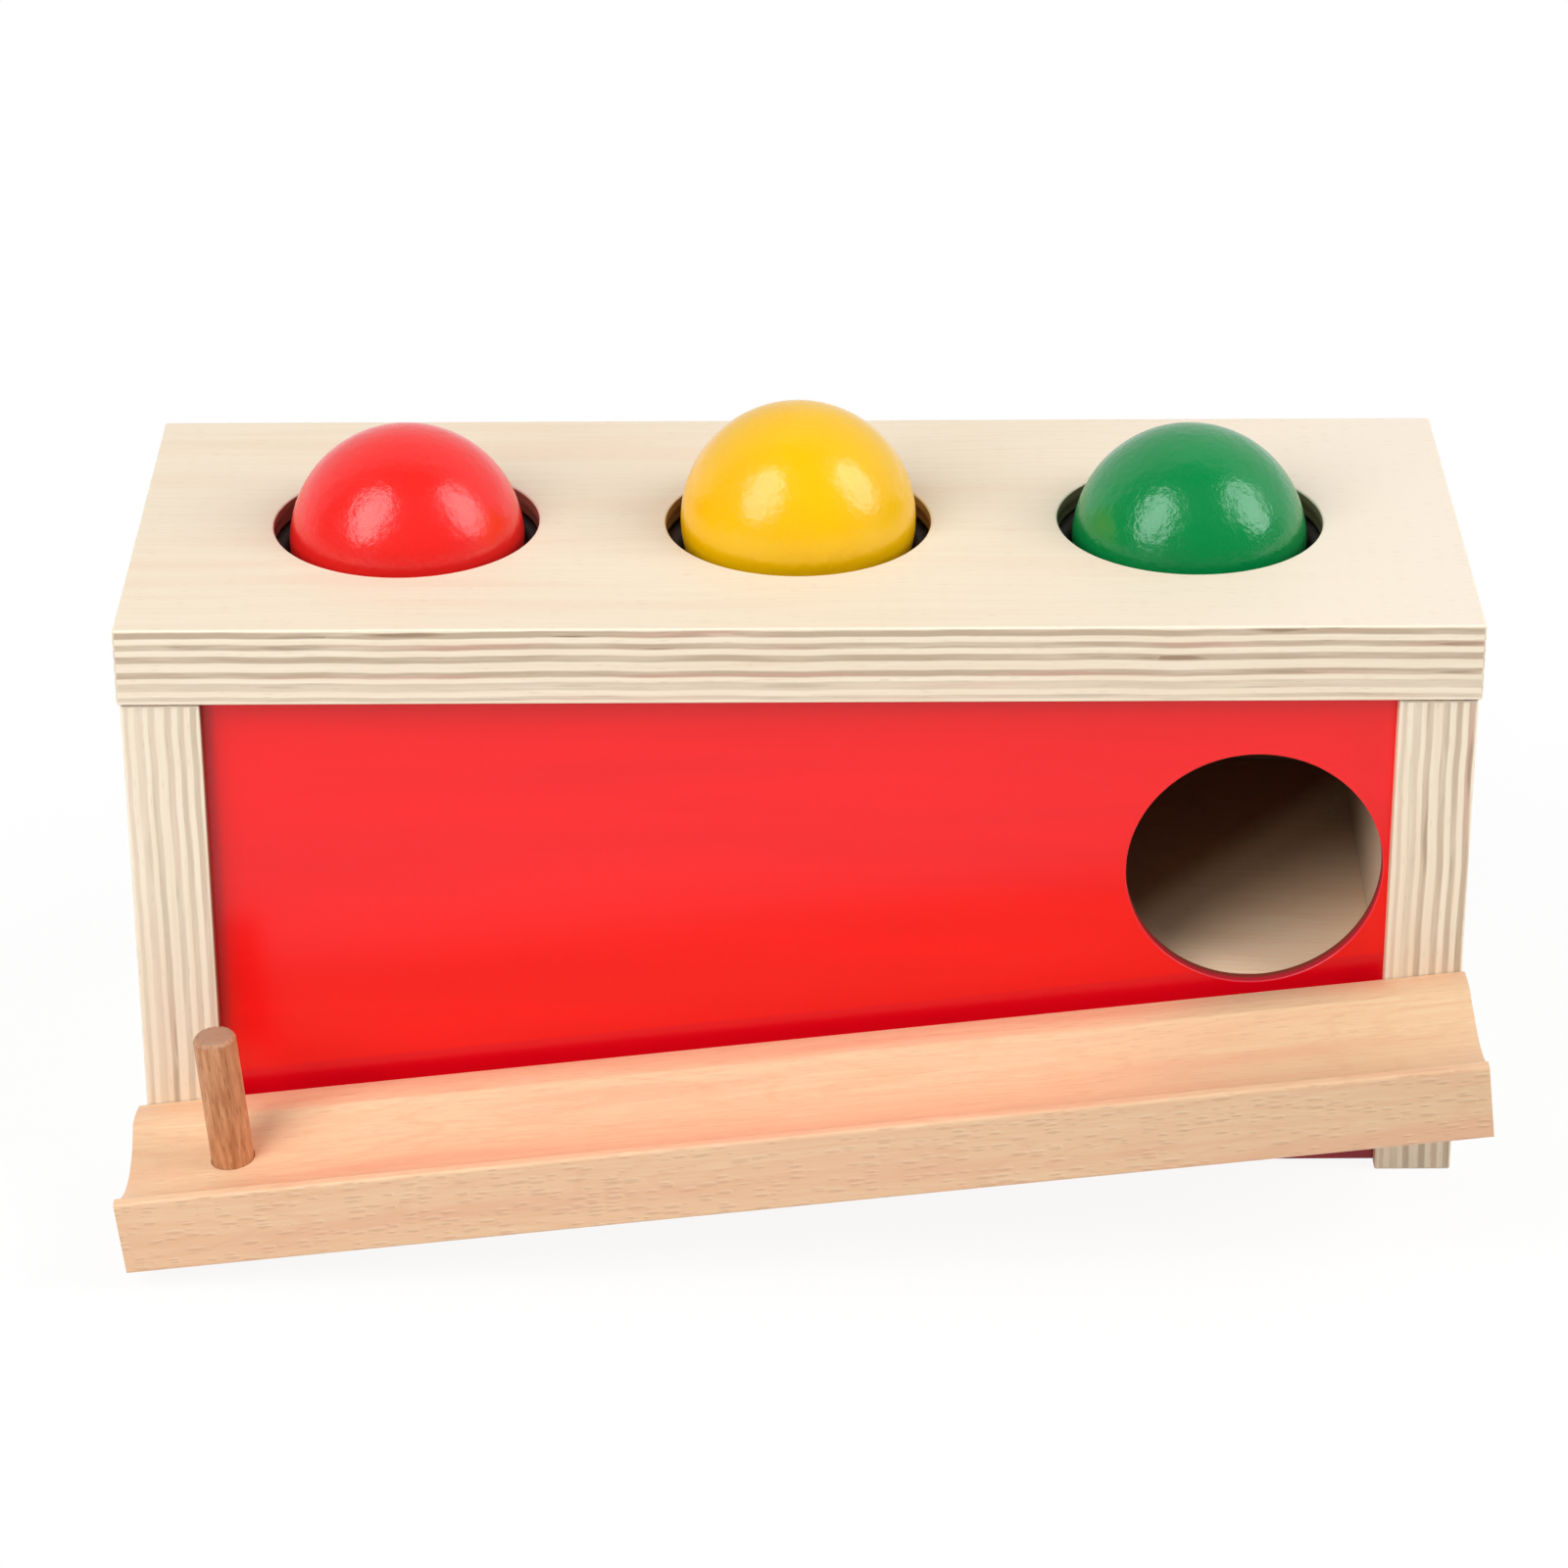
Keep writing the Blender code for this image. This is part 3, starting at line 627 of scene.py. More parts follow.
colour = blend(remap(grain["Fine"], 0.35, 0.7, 0.0, 0.22), colour, BEECH_LINE)
# painted highlight on the far rim of each dash
colour = blend(times(glints, strength), colour, BEECH_GLINT_HIGHLIGHT)
colour = blend(times(dashes, strength), colour, BEECH_DASH)
# painted shade: the track darkens towards its high right end
colour = blend(remap(parts_of(level)["X"], 0.0, 140.0 * MM), colour, BEECH_HIGH_END_SHADE, "MULTIPLY")
# painted shade: the front faces are made a shade darker than the top, as less light reaches them
colour = blend(front, colour, BEECH_FRONT_SHADE, "MULTIPLY")
pits = use(marks, Vector=level, Length=0.02, Width=0.0005, Share=0.5, Seed=5.0)["Mask"]
colour = blend(end, colour, blend(times(pits, 0.5), BEECH_END, BEECH_DASH))
relief = plus(minus(grain["Streaks"], dashes), times(glints, 0.6))
dress(surface, colour, remap(grain["Fine"], 0.2, 0.8, 0.32, 0.5), relief, 0.04 * MM)

# %% [markdown]
# **Peg wood.** The peg is a harder, redder wood. Its fibres run up the peg, with narrow darker
# streaks, and its cut top is paler and rough.

# %% Finish: peg wood
PEG_LIGHT = shade(216, 158, 114)
PEG_DARK = shade(170, 106, 64)
PEG_TOP = shade(178, 138, 112)
PEG_RIM = shade(196, 148, 116)
PEG_SLIT = shade(122, 72, 44)

peg_wood, surface, place = new_material("peg_wood_oiled", Roughness=0.5, Specular_IOR_Level=0.4)
upright = board_frame(level_frame(place["Object"]), "ZXY")
rise = parts_of(level_frame(place["Normal"]))["Z"]
grain = use(fibre, Vector=upright, Length=0.012, Width=0.0016, Wander=0.003, Seed=4.0)
slits = use(marks, Vector=upright, Length=0.004, Width=0.0005, Share=0.45, Seed=6.0)["Mask"]
dots = use(marks, Vector=upright, Length=0.02, Width=0.0005, Share=0.55, Seed=8.0)["Mask"]
colour = blend(remap(grain["Streaks"], 0.3, 0.72), PEG_LIGHT, PEG_DARK)
colour = blend(remap(grain["Bands"], 0.5, 0.7, 0.0, 0.6), colour, PEG_DARK)
colour = blend(times(slits, 0.45), colour, PEG_SLIT)
rim = times(remap(rise, 0.12, 0.4), remap(grain["Fine"], 0.3, 0.6))
colour = blend(rim, colour, PEG_RIM)
colour = blend(remap(rise, 0.7, 0.9), colour, blend(times(dots, 0.5), PEG_TOP, PEG_DARK))
relief = minus(grain["Streaks"], slits)
dress(surface, colour, remap(grain["Fine"], 0.2, 0.8, 0.42, 0.65), relief, 0.08 * MM)

# %% [markdown]
# ** Red panel.** Thin plywood under a coat of glossy red. The lacquer reflects the white card in
# front, which lightens the red. Just above the track, where the lacquer faces the dark gap behind
# the track, the red is painted deeper as painted shade, and deeper still under the track. Painted
# shade also darkens it by the left board, and a painted highlight lies on its rounded edges. The
# panel is painted on its outer face only. The wall of the sawn hole is brown, with red that ran in at
# its rim. The raw inside is painted dark as painted shade, and paler behind the hole as painted light.

# %% Finish: red lacquered panels
RED_PAINT = shade(253, 4, 9)
RED_DEEP = shade(240, 2, 16)
SAWN_EDGE = shade(142, 62, 50)
SAWN_STAIN = shade(196, 44, 56)
RAW_LIGHT = shade(108, 66, 42)
RAW_DARK = shade(88, 50, 30)
RAW_LIT_BEHIND_HOLE = shade(168, 136, 108)
DUST = shade(255, 120, 110)
LEFT_BOARD_SHADE = shade(205, 22, 28)
RED_SHADE_ABOVE_TRACK = shade(238, 0, 28)
RED_RIM_HIGHLIGHT = shade(216, 84, 100)
RED_SHADE_UNDER_TRACK = shade(170, 10, 30)
PAINT_REACH = 0.4 * MM
STAIN_REACH = 2.2 * MM
LIT_BEHIND_HOLE_RANGE = (70.0 * MM, 122.0 * MM)
LEFT_BOARD_SHADE_RANGE = (3.2 * MM, 0.2 * MM)
TRACK_LINE = 33.0 * MM
SHADE_ABOVE_TRACK_WAVE = 1.2 * MM
SHADE_ABOVE_TRACK_RANGE = (5.4 * MM, 4.4 * MM)
SHADE_UNDER_TRACK_RANGE = (-4.0 * MM, -6.0 * MM)


def red_panel(name, painted_side, outer_y, low, high, seed):
    """The painted side is -1 where the painted face looks along -Y, and 1 where it looks along +Y."""
    material, surface, place = new_material(name, Specular_IOR_Level=0.0, Coat_Roughness=0.27)
    spot = place["Object"]
    at = parts_of(spot)
    board = board_frame(spot, "XZY", (0.0, outer_y, 0.0))
    buried = times(parts_of(board)["Z"], -painted_side)
    paint = remap(buried, PAINT_REACH, PAINT_REACH * 0.6)
    facing = calc("ABSOLUTE", parts_of(place["Normal"])["Y"])
    grain = use(fibre, Vector=board, Length=0.05, Width=0.0012, Wander=0.004, Seed=seed)
    film = use(skin, Vector=spot, Peel_Size=0.0016, Dip_Size=0.02, Dips=1.2, Seed=seed)
    thin = use(wear, Vector=spot, Low=tuple(low), High=tuple(high), Width=0.0012)["Mask"]
    dust = use(marks, Vector=spot, Length=0.012, Width=0.012, Share=0.035, Seed=seed)["Mask"]

    # the paint, with dust in it and painted shade where it meets the left board
    red = blend(remap(grain["Bands"], 0.35, 0.7, 0.0, 0.5), RED_PAINT, RED_DEEP)
    red = blend(times(thin, 0.4), red, RED_DEEP)
    red = blend(times(dust, 0.5), red, DUST)
    left_board_shade = remap(minus(at["X"], left_high.x), *LEFT_BOARD_SHADE_RANGE)
    red = blend(times(left_board_shade, remap(grain["Fine"], 0.2, 0.7, 0.6, 0.9)), red, LEFT_BOARD_SHADE)
    if painted_side < 0:
        line = calc("MULTIPLY_ADD", at["X"], math.tan(TRACK_SLOPE), TRACK_LINE)
        above_track = calc("MULTIPLY_ADD", grain["Bands"], SHADE_ABOVE_TRACK_WAVE, minus(at["Z"], line))
        # painted shade: a deeper red band just above the track
        red = blend(times(remap(above_track, *SHADE_ABOVE_TRACK_RANGE), 0.85), red, RED_SHADE_ABOVE_TRACK)
        # painted shade under the track
        red = blend(remap(above_track, *SHADE_UNDER_TRACK_RANGE), red, RED_SHADE_UNDER_TRACK)
    # painted highlight where the painted face rounds over its edges, as at the hole's rim
    red = blend(remap(facing, 0.97, 0.8, 0.0, 0.5), red, RED_RIM_HIGHLIGHT)

    # what the paint doesn't cover: the sawn wall, and raw wood painted dark as painted shade,
    # paler behind the exit hole as painted light
    raw = blend(remap(grain["Streaks"], 0.3, 0.75), RAW_LIGHT, RAW_DARK)
    raw = blend(remap(at["X"], *LIT_BEHIND_HOLE_RANGE), raw, RAW_LIT_BEHIND_HOLE)
    sawn = blend(remap(buried, STAIN_REACH, STAIN_REACH * 0.6), SAWN_EDGE, SAWN_STAIN)
    raw = blend(remap(facing, 0.3, 0.6), sawn, raw)
    fill(surface["Coat Weight"], paint)
    roughness = plus(times(film["Dull Patches"], 0.08), minus(0.62, times(paint, 0.34)))
    relief = plus(film["Height"], times(grain["Streaks"], 0.35))
    dress(surface, blend(paint, raw, red), roughness, relief, 0.012 * MM)
    return material


red_front = red_panel("red_lacquer_front", -1, panel_low.y, panel_low, panel_high, 0.9)
red_back = red_panel("red_lacquer_back", 1, back_high.y, back_low, back_high, 5.3)

# %% [markdown]
# **Ball lacquer.** Each ball is dipped and sprayed: one strong, glossy colour with the fine skin of
# sprayed lacquer, which wrinkles the two bright spots. The three balls differ in colour, in how much
# they shine and in where their unevenness falls.

# %% Finish: ball lacquer
GREEN_SHINE = (0.80, 1.0, 0.94, 1.0)
# ball: colour, the same in dull patches, gloss, colour of the shine, depth of the skin, seed
LACQUERS = {
    "red_ball": (shade(247, 37, 32), shade(241, 28, 27), 0.56, WHITE, 0.12 * MM, 1.3),
    "yellow_ball": (shade(251, 196, 0), shade(247, 186, 0), 0.54, WHITE, 0.12 * MM, 2.9),
    "green_ball": (shade(0, 138, 68), shade(0, 130, 62), 0.68, GREEN_SHINE, 0.18 * MM, 4.6),
}
ball_finish = {}
for name, (colour, deeper, gloss, shine, wrinkles, seed) in LACQUERS.items():
    named = name + "_lacquer_coat"
    ball_finish[name], surface, place = new_material(named, Specular_IOR_Level=gloss, Specular_Tint=shine)
    film = use(skin, Vector=place["Object"], Peel_Size=0.0019, Dip_Size=0.006, Dips=0.9, Seed=seed)
    colour = blend(times(film["Dull Patches"], 0.35), colour, deeper)
    roughness = remap(film["Dull Patches"], 0.0, 1.0, 0.22, 0.28)
    dress(surface, colour, roughness, film["Height"], wrinkles)

# %% [markdown]
# **Rubber.** The rings are plain dark rubber with a dusty bloom and no shine.

# %% Finish: rubber
RUBBER_DARK = shade(46, 38, 33)
RUBBER_BLOOM = shade(96, 80, 68)

rubber, surface, place = new_material("ring_rubber_dusty", Roughness=0.7, Specular_IOR_Level=0.35)
bloom = remap(noise(place["Object"], 320.0, 4.0, 0.65), 0.45, 0.75)
relief = noise(place["Object"], 1500.0, 3.0, 0.6)
colour = blend(bloom, RUBBER_DARK, RUBBER_BLOOM)
dress(surface, colour, remap(bloom, 0.0, 1.0, 0.55, 0.8), relief, 0.03 * MM)

# %% [markdown]
# ** Ramp and dowels.** The ramp is unfinished plywood, seen only through the exit hole. Beyond a
# slanting line its far corner carries a painted shadow. The dowels are plain birch and sit inside
# their bores, but another view or a cut model may show them.

# %% Finish: ramp and dowels
RAMP_LIGHT = shade(255, 227, 194)
RAMP_DARK = shade(252, 214, 178)
DOWEL_LIGHT = shade(238, 212, 176)
DOWEL_DARK = shade(216, 184, 144)
RAMP_PAINTED_SHADOW = shade(190, 150, 135)
PAINTED_SHADOW_PLACE = (69.0 * MM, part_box("ramp_board")[0].y + 18.0 * MM, 0.0)
PAINTED_SHADOW_SLANT = -1.23
PAINTED_SHADOW_FADE = 9.0 * MM


def raw_wood(name, order, light, dark, seed, shadowed=False):
    material, surface, place = new_material(name, Roughness=0.62, Specular_IOR_Level=0.3)
    board = board_frame(place["Object"], order)
    grain = use(fibre, Vector=board, Length=0.03, Width=0.0009, Wander=0.005, Seed=seed)
    pores = use(marks, Vector=board, Length=0.004, Width=0.0005, Share=0.4, Seed=seed)["Mask"]
    colour = blend(remap(grain["Streaks"], 0.25, 0.75), light, dark)
    colour = blend(times(pores, 0.12), colour, PORE)
    if shadowed:
        at = parts_of(vector_calc("SUBTRACT", place["Object"], PAINTED_SHADOW_PLACE))
        into_shadow = calc("MULTIPLY_ADD", at["X"], PAINTED_SHADOW_SLANT, at["Y"])
        # painted shadow: the ramp darkens beyond a slanting line
        colour = blend(remap(into_shadow, -PAINTED_SHADOW_FADE, PAINTED_SHADOW_FADE), colour, RAMP_PAINTED_SHADOW, "MULTIPLY")
    dress(surface, colour, remap(grain["Fine"], 0.2, 0.8, 0.55, 0.75), grain["Streaks"], 0.02 * MM)
    return material


ramp_wood = raw_wood("ramp_plywood_raw", "XYZ", RAMP_LIGHT, RAMP_DARK, 2.2, shadowed=True)
dowel_upright = raw_wood("dowel_birch_upright", "ZXY", DOWEL_LIGHT, DOWEL_DARK, 3.3)
dowel_lying = raw_wood("dowel_birch_lying", "YXZ", DOWEL_LIGHT, DOWEL_DARK, 3.9)
print("materials:", len(bpy.data.materials))

# %% [markdown]
# ## Shapes
#
# Trees of Geometry Nodes make what repeats and what follows a rule. A modifier's inputs are set by
# the identifiers of their sockets, because two sockets may share a name. The result is then turned
# into a plain mesh, and the helper object goes.

# %% Helpers for shapes
ROUNDED_ABOVE = math.radians(35.0)
SHARP_ABOVE = math.radians(40.0)


def geo(kind, tree=None, **named):
    """Adds a node of Geometry Nodes and returns its first output."""
    return node(tree or tree_of(*named.values()), "GeometryNode" + kind, **named).outputs[0]


def scaled(vector, factor):
    inputs = {0: vector, "Scale": factor}
    return node(tree_of(vector), "ShaderNodeVectorMath", inputs, operation="SCALE").outputs["Vector"]


def finish_group(output, geometry, material):
    """Makes plain geometry of instances, gives it the finish and sends it out of the group."""
    whole = geo("RealizeInstances", Geometry=geometry)
    fill(output, geo("SetMaterial", Geometry=whole, Material=material))


def put(name, mesh, material=None):
    """A new object at the origin that shows the mesh."""
    piece = bpy.data.objects.new(name, mesh)
    bpy.context.scene.collection.objects.link(piece)
    mesh.name = name
    if material is not None:
        mesh.materials.clear()
        mesh.materials.append(material)
    return piece


def put_shape(name, shape, place, material=None):
    """Moves a bmesh to its place and shows it as a new object."""
    bmesh.ops.transform(shape, matrix=place, verts=shape.verts)
    mesh = bpy.data.meshes.new(name)
    shape.to_mesh(mesh)
    shape.free()
    return put(name, mesh, material)


def settled(name, host, material=None):
    """Bakes the host with all its modifiers into a new plain piece and removes the host."""
    graph = bpy.context.evaluated_depsgraph_get()
    mesh = bpy.data.meshes.new_from_object(host.evaluated_get(graph))
    bpy.data.objects.remove(host, do_unlink=True)
    return put(name, mesh, material)


def grown(name, tree, start=None, **values):
    """Runs a Geometry Nodes tree on a starting shape, or on nothing, and settles the result."""
    host = start or put(name + "_start", bpy.data.meshes.new(name + "_start"))
    modifier = host.modifiers.new("nodes", "NODES")
    modifier.node_group = tree
    for socket in tree.interface.items_tree:
        word = socket.name.replace(" ", "_")
        if socket.in_out == "INPUT" and word in values:
            modifier[socket.identifier] = values[word]
    return settled(name, host)


def block(name, low, high):
    """A plain block between two corners, as a start for cutting."""
    shape = bmesh.new()
    bmesh.ops.create_cube(shape, size=1.0)
    spread = Matrix.Diagonal((*(high - low), 1.0))
    return put_shape(name, shape, Matrix.Translation((low + high) / 2) @ spread)


def drill(name, radius, start, end, steps):
    """A round cutter from one point to another."""
    axis = end - start
    shape = bmesh.new()
    sizes = {"radius1": radius, "radius2": radius, "depth": axis.length}
    bmesh.ops.create_cone(shape, cap_ends=True, segments=steps, **sizes)
    turn = axis.to_track_quat("Z", "Y").to_matrix().to_4x4()
    return put_shape(name, shape, Matrix.Translation((start + end) / 2) @ turn)


def carved(piece, cutters, rounding, segments, angle=ROUNDED_ABOVE):
    """Takes the cutters out of a piece, rounds its sharp edges and shades it smooth between them."""
    name = piece.name
    material = piece.data.materials[0] if piece.data.materials else None
    for cutter in cutters:
        cut = piece.modifiers.new("cut", "BOOLEAN")
        cut.operation = "DIFFERENCE"
        cut.solver = "EXACT"
        cut.object = cutter
    bevel = piece.modifiers.new("round", "BEVEL")
    bevel.width = rounding
    bevel.segments = segments
    bevel.limit_method = "ANGLE"
    bevel.angle_limit = angle
    piece.name = name + "_uncut"
    whole = settled(name, piece, material)
    for cutter in cutters:
        bpy.data.objects.remove(cutter, do_unlink=True)
    return smoothed(whole)


def smoothed(piece):
    """Smooth shading that bends only over rounded edges: big faces keep their own normals."""
    mesh = piece.data
    mesh.shade_smooth()
    mesh.set_sharp_from_angle(angle=SHARP_ABOVE)
    weighted = piece.modifiers.new("weighted normals", "WEIGHTED_NORMAL")
    weighted.mode = "FACE_AREA"
    weighted.weight = 100
    weighted.keep_sharp = True
    name = piece.name
    piece.name = name + "_soft"
    return settled(name, piece)


def report(piece):
    """Prints the size of a piece and how many triangles it has."""
    spots = [v.co for v in piece.data.vertices]
    size = [round((max(s[k] for s in spots) - min(s[k] for s in spots)) / MM, 2) for k in range(3)]
    piece.data.calc_loop_triangles()
    print(piece.name, "mm:", size, "triangles:", len(piece.data.loop_triangles))
    return piece


# %% [markdown]
# ## Top board
#
# The board is a block with three equal bores at one pitch, each with an inner groove for its rubber
# ring. That is a rule, so nodes drill it: a line of three points carries a drill and a grooving
# disc, and one Boolean takes them all out. The slots for the thin panels and the dowel bores are cut
# after, and every edge is rounded by half a millimetre, as sandpaper leaves it.

# %% Tree: row of bores
BORE_STEPS = 144
bore_row, given, made = new_group(
    "row of bores", ("Board",), kind="Geometry",
    Board="Geometry", Bores=3, Pitch=BORE_PITCH, First_Bore="Vector", Bore_Radius=BORE_RADIUS,
    Reach=20.0 * MM, Groove_Radius=31.0 * MM, Groove_Height=6.0 * MM, Groove_Depth=RING_DEPTH,
    Steps=BORE_STEPS, Finish="Material",
)
steps = given["Steps"]
pitch = joined(given["Pitch"], 0.0, 0.0)
spots = geo("MeshLine", Count=given["Bores"], Start_Location=given["First Bore"], Offset=pitch)
bit = geo("MeshCylinder", Vertices=steps, Radius=given["Bore Radius"], Depth=given["Reach"])
disc = geo("MeshCylinder", Vertices=steps, Radius=given["Groove Radius"], Depth=given["Groove Height"])
lowered = joined(0.0, 0.0, times(given["Groove Depth"], -1.0))
disc = geo("Transform", Geometry=disc, Translation=lowered)
tool = node(bore_row, "GeometryNodeJoinGeometry")
for part in (bit, disc):
    fill(tool.inputs["Geometry"], part)
tools = geo("InstanceOnPoints", Points=spots, Instance=tool.outputs["Geometry"])
tools = geo("RealizeInstances", Geometry=tools)
cut = {"operation": "DIFFERENCE", "solver": "EXACT"}
drilled = geo("MeshBoolean", Mesh_1=given["Board"], Mesh_2=tools, Self_Intersection=True, **cut)
finish_group(made["Board"], drilled, given["Finish"])

# %% Drill and finish the top board
BOARD_ROUND = 0.5 * MM
BOARD_ROUND_STEPS = 4
DOWEL_BORE_RADIUS = 3.3 * MM
DOWEL_BORE_STEPS = 32
BEYOND = 2.0 * MM


def ring_radius(ball):
    """Radius of a ring's centre line: its section just clears the ball."""
    low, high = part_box(ball)
    rise = (low.z + high.z) / 2 - plate_high.z
    return math.sqrt((BALL_RADIUS + RING_SECTION_RADIUS + RUBBER_GAP) ** 2 - (rise + RING_DEPTH) ** 2)


BALLS = ("red_ball", "yellow_ball", "green_ball")
groove_radius = max(ring_radius(ball) for ball in BALLS) + RING_SECTION_RADIUS + RUBBER_GAP
top_board = grown(
    "top_board", bore_row, block("top_board_block", plate_low, plate_high),
    Bores=len(BALLS), Pitch=BORE_PITCH, First_Bore=(-BORE_PITCH, plate_middle, plate_high.z),
    Bore_Radius=BORE_RADIUS, Reach=2.4 * plate_thickness, Groove_Radius=groove_radius,
    Groove_Height=2 * (RING_SECTION_RADIUS + RUBBER_GAP), Groove_Depth=RING_DEPTH,
    Steps=BORE_STEPS, Finish=birch_top,
)


def panel_slot(name, low, high):
    """Room for a thin panel: its own size with a small gap all round, open towards the floor."""
    gap = Vector((GROOVE_GAP, GROOVE_GAP, GROOVE_GAP))
    return block(name, low - gap - Vector((0, 0, BEYOND)), high + gap)


def dowel_bore(name, axis):
    """Room for a dowel, a little wider and longer than the dowel itself."""
    low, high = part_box(name)
    start = middle_of(name)
    end = middle_of(name)
    start[axis] = low[axis] - GROOVE_GAP
    end[axis] = high[axis] + GROOVE_GAP
    return drill(name + "_bore", DOWEL_BORE_RADIUS, start, end, DOWEL_BORE_STEPS)


TOP_DOWELS = ["top_dowel_" + side + end for side in ("left", "right") for end in ("_front", "_back")]
cutters = [panel_slot("front_slot", panel_low, panel_high), panel_slot("back_slot", back_low, back_high)]
cutters += [dowel_bore(name, 2) for name in TOP_DOWELS]
top_board = report(carved(top_board, cutters, BOARD_ROUND, BOARD_ROUND_STEPS))

# %% [markdown]
# ## Red front
#
# A thin board with one round hole. The camera looks down on the lower part of the hole's wall, so
# the wall needs its true thickness and a fine round edge, and the hole needs enough steps to look
# round.

# %% Saw the exit hole
PANEL_ROUND = 0.3 * MM
PANEL_ROUND_STEPS = 3
EXIT_STEPS = 160
exit_x, exit_z = EXIT_CENTRE
front_board = block("front_board", panel_low, panel_high)
front_board.data.materials.append(red_front)
hole_start = Vector((exit_x, panel_low.y - BEYOND, exit_z))
hole_end = Vector((exit_x, panel_high.y + BEYOND, exit_z))
exit_cut = drill("exit_cut", EXIT_RADIUS, hole_start, hole_end, EXIT_STEPS)
front_board = report(carved(front_board, [exit_cut], PANEL_ROUND, PANEL_ROUND_STEPS))

# %% [markdown]
# ## Track
#
# The track is a planed moulding: one section, pushed along a straight line. The section has a flat
# rise at the back, a rounded crest, the hollow that the balls roll in, and a narrow front ridge. Its
# arcs meet without corners, which the distances between their centres ensure. Curve to Mesh makes
# the sweep, and then the whole is tilted to its slope.

# %% Section of the track
TRACK_THICKNESS = 13.5 * MM
CREST_RISE = 1.6 * MM
CREST_ROUND = 1.6 * MM
COVE_RADIUS = 29.0 * MM
COVE_CENTRE = 25.7 * MM
COVE_DROP = 2.6 * MM
RIDGE_RISE = 3.3 * MM
RIDGE_ROUND = 1.0 * MM
RIDGE_FLAT = 1.4 * MM
LIP_ROUND = 0.8 * MM
TRACK_PAST_END = 0.4 * MM
TRACK_ABOVE_FLOOR = 3.9 * MM
QUARTER = math.pi / 2
CREST_STEPS = 10
COVE_STEPS = 40
ROUND_STEPS = 6


def reach_of_fillet(rise, radius):
    """How far from the hollow's middle a fillet sits that meets both the hollow and the level top."""
    drop = COVE_RADIUS - COVE_DROP - rise + radius
    return math.sqrt((COVE_RADIUS + radius) ** 2 - drop**2)


def arc(centre, radius, start, end, steps):
    angles = [start + (end - start) * step / steps for step in range(steps + 1)]
    return [(centre[0] + radius * math.cos(a), centre[1] + radius * math.sin(a)) for a in angles]


def track_section():
    """Closed outline as (distance from the box, height) points."""
    crest = (COVE_CENTRE - reach_of_fillet(CREST_RISE, CREST_ROUND), CREST_RISE - CREST_ROUND)
    ridge = (COVE_CENTRE + reach_of_fillet(RIDGE_RISE, RIDGE_ROUND), RIDGE_RISE - RIDGE_ROUND)
    cove = (COVE_CENTRE, COVE_RADIUS - COVE_DROP)
    width = ridge[0] + RIDGE_FLAT + LIP_ROUND
    crest_angle = math.atan2(cove[1] - crest[1], cove[0] - crest[0])
    ridge_angle = math.atan2(cove[1] - ridge[1], cove[0] - ridge[0])
    shares = [step / CREST_STEPS for step in range(CREST_STEPS)]
    points = [(crest[0] * share, CREST_RISE * (1 - (1 - share) ** 2)) for share in shares]
    points += arc(crest, CREST_ROUND, QUARTER, crest_angle, CREST_STEPS)
    points += arc(cove, COVE_RADIUS, crest_angle - math.pi, ridge_angle - math.pi, COVE_STEPS)[1:-1]
    points += arc(ridge, RIDGE_ROUND, ridge_angle, QUARTER, ROUND_STEPS)
    lip = width - LIP_ROUND
    points += arc((lip, RIDGE_RISE - LIP_ROUND), LIP_ROUND, QUARTER, 0.0, ROUND_STEPS)
    points += arc((lip, LIP_ROUND - TRACK_THICKNESS), LIP_ROUND, 0.0, -QUARTER, ROUND_STEPS)
    points += [(0.0, -TRACK_THICKNESS)]
    return points, width


section, track_width = track_section()
box_width = plate_high.x - plate_low.x
track_length = (box_width + 2 * TRACK_PAST_END) / math.cos(TRACK_SLOPE)
track_height = TRACK_ABOVE_FLOOR + TRACK_THICKNESS * math.cos(TRACK_SLOPE)
track_height += track_length / 2 * math.sin(TRACK_SLOPE)
track_shift = (RIDGE_RISE - TRACK_THICKNESS) * math.sin(TRACK_SLOPE) / 2
track_back = left_low.y - GLUE_LINE + HAIR
print("track, mm: length", round(track_length / MM, 2), "width", round(track_width / MM, 2))

# %% Tree: swept moulding
moulding, given, made = new_group(
    "swept moulding", ("Moulding",), kind="Geometry",
    Section="Geometry", Length=280.0 * MM, Slope=0.1, Place="Vector", Finish="Material",
)
half_length = times(given["Length"], 0.5)
left_end = joined(times(half_length, -1.0), 0.0, 0.0)
path = geo("CurvePrimitiveLine", Start=left_end, End=joined(half_length, 0.0, 0.0))
swept = geo("CurveToMesh", Curve=path, Profile_Curve=given["Section"], Fill_Caps=True)
tilt = joined(0.0, times(given["Slope"], -1.0), 0.0)
laid = geo("Transform", Geometry=swept, Translation=given["Place"], Rotation=tilt)
finish_group(made["Moulding"], laid, given["Finish"])

# %% Sweep and finish the track
outline = bpy.data.curves.new("track_section", "CURVE")
outline.dimensions = "2D"
outline.fill_mode = "NONE"
spline = outline.splines.new("POLY")
spline.points.add(len(section) - 1)
for point, (away, height) in zip(spline.points, section):
    point.co = (away, -height, 0.0, 1.0)
spline.use_cyclic_u = True
drawn = put("track_section", outline)
TRACK_PLACE = Vector((track_shift, track_back, track_height))
sizes = {"Length": track_length, "Slope": TRACK_SLOPE, "Place": TRACK_PLACE}
track = grown("track", moulding, drawn, Finish=beech, **sizes)


def on_track(along, out, above):
    """A point of the track's own frame, given from its middle, its back and its back edge's height."""
    return TRACK_PLACE + Matrix.Rotation(-TRACK_SLOPE, 3, "Y") @ Vector((along, -out, above))


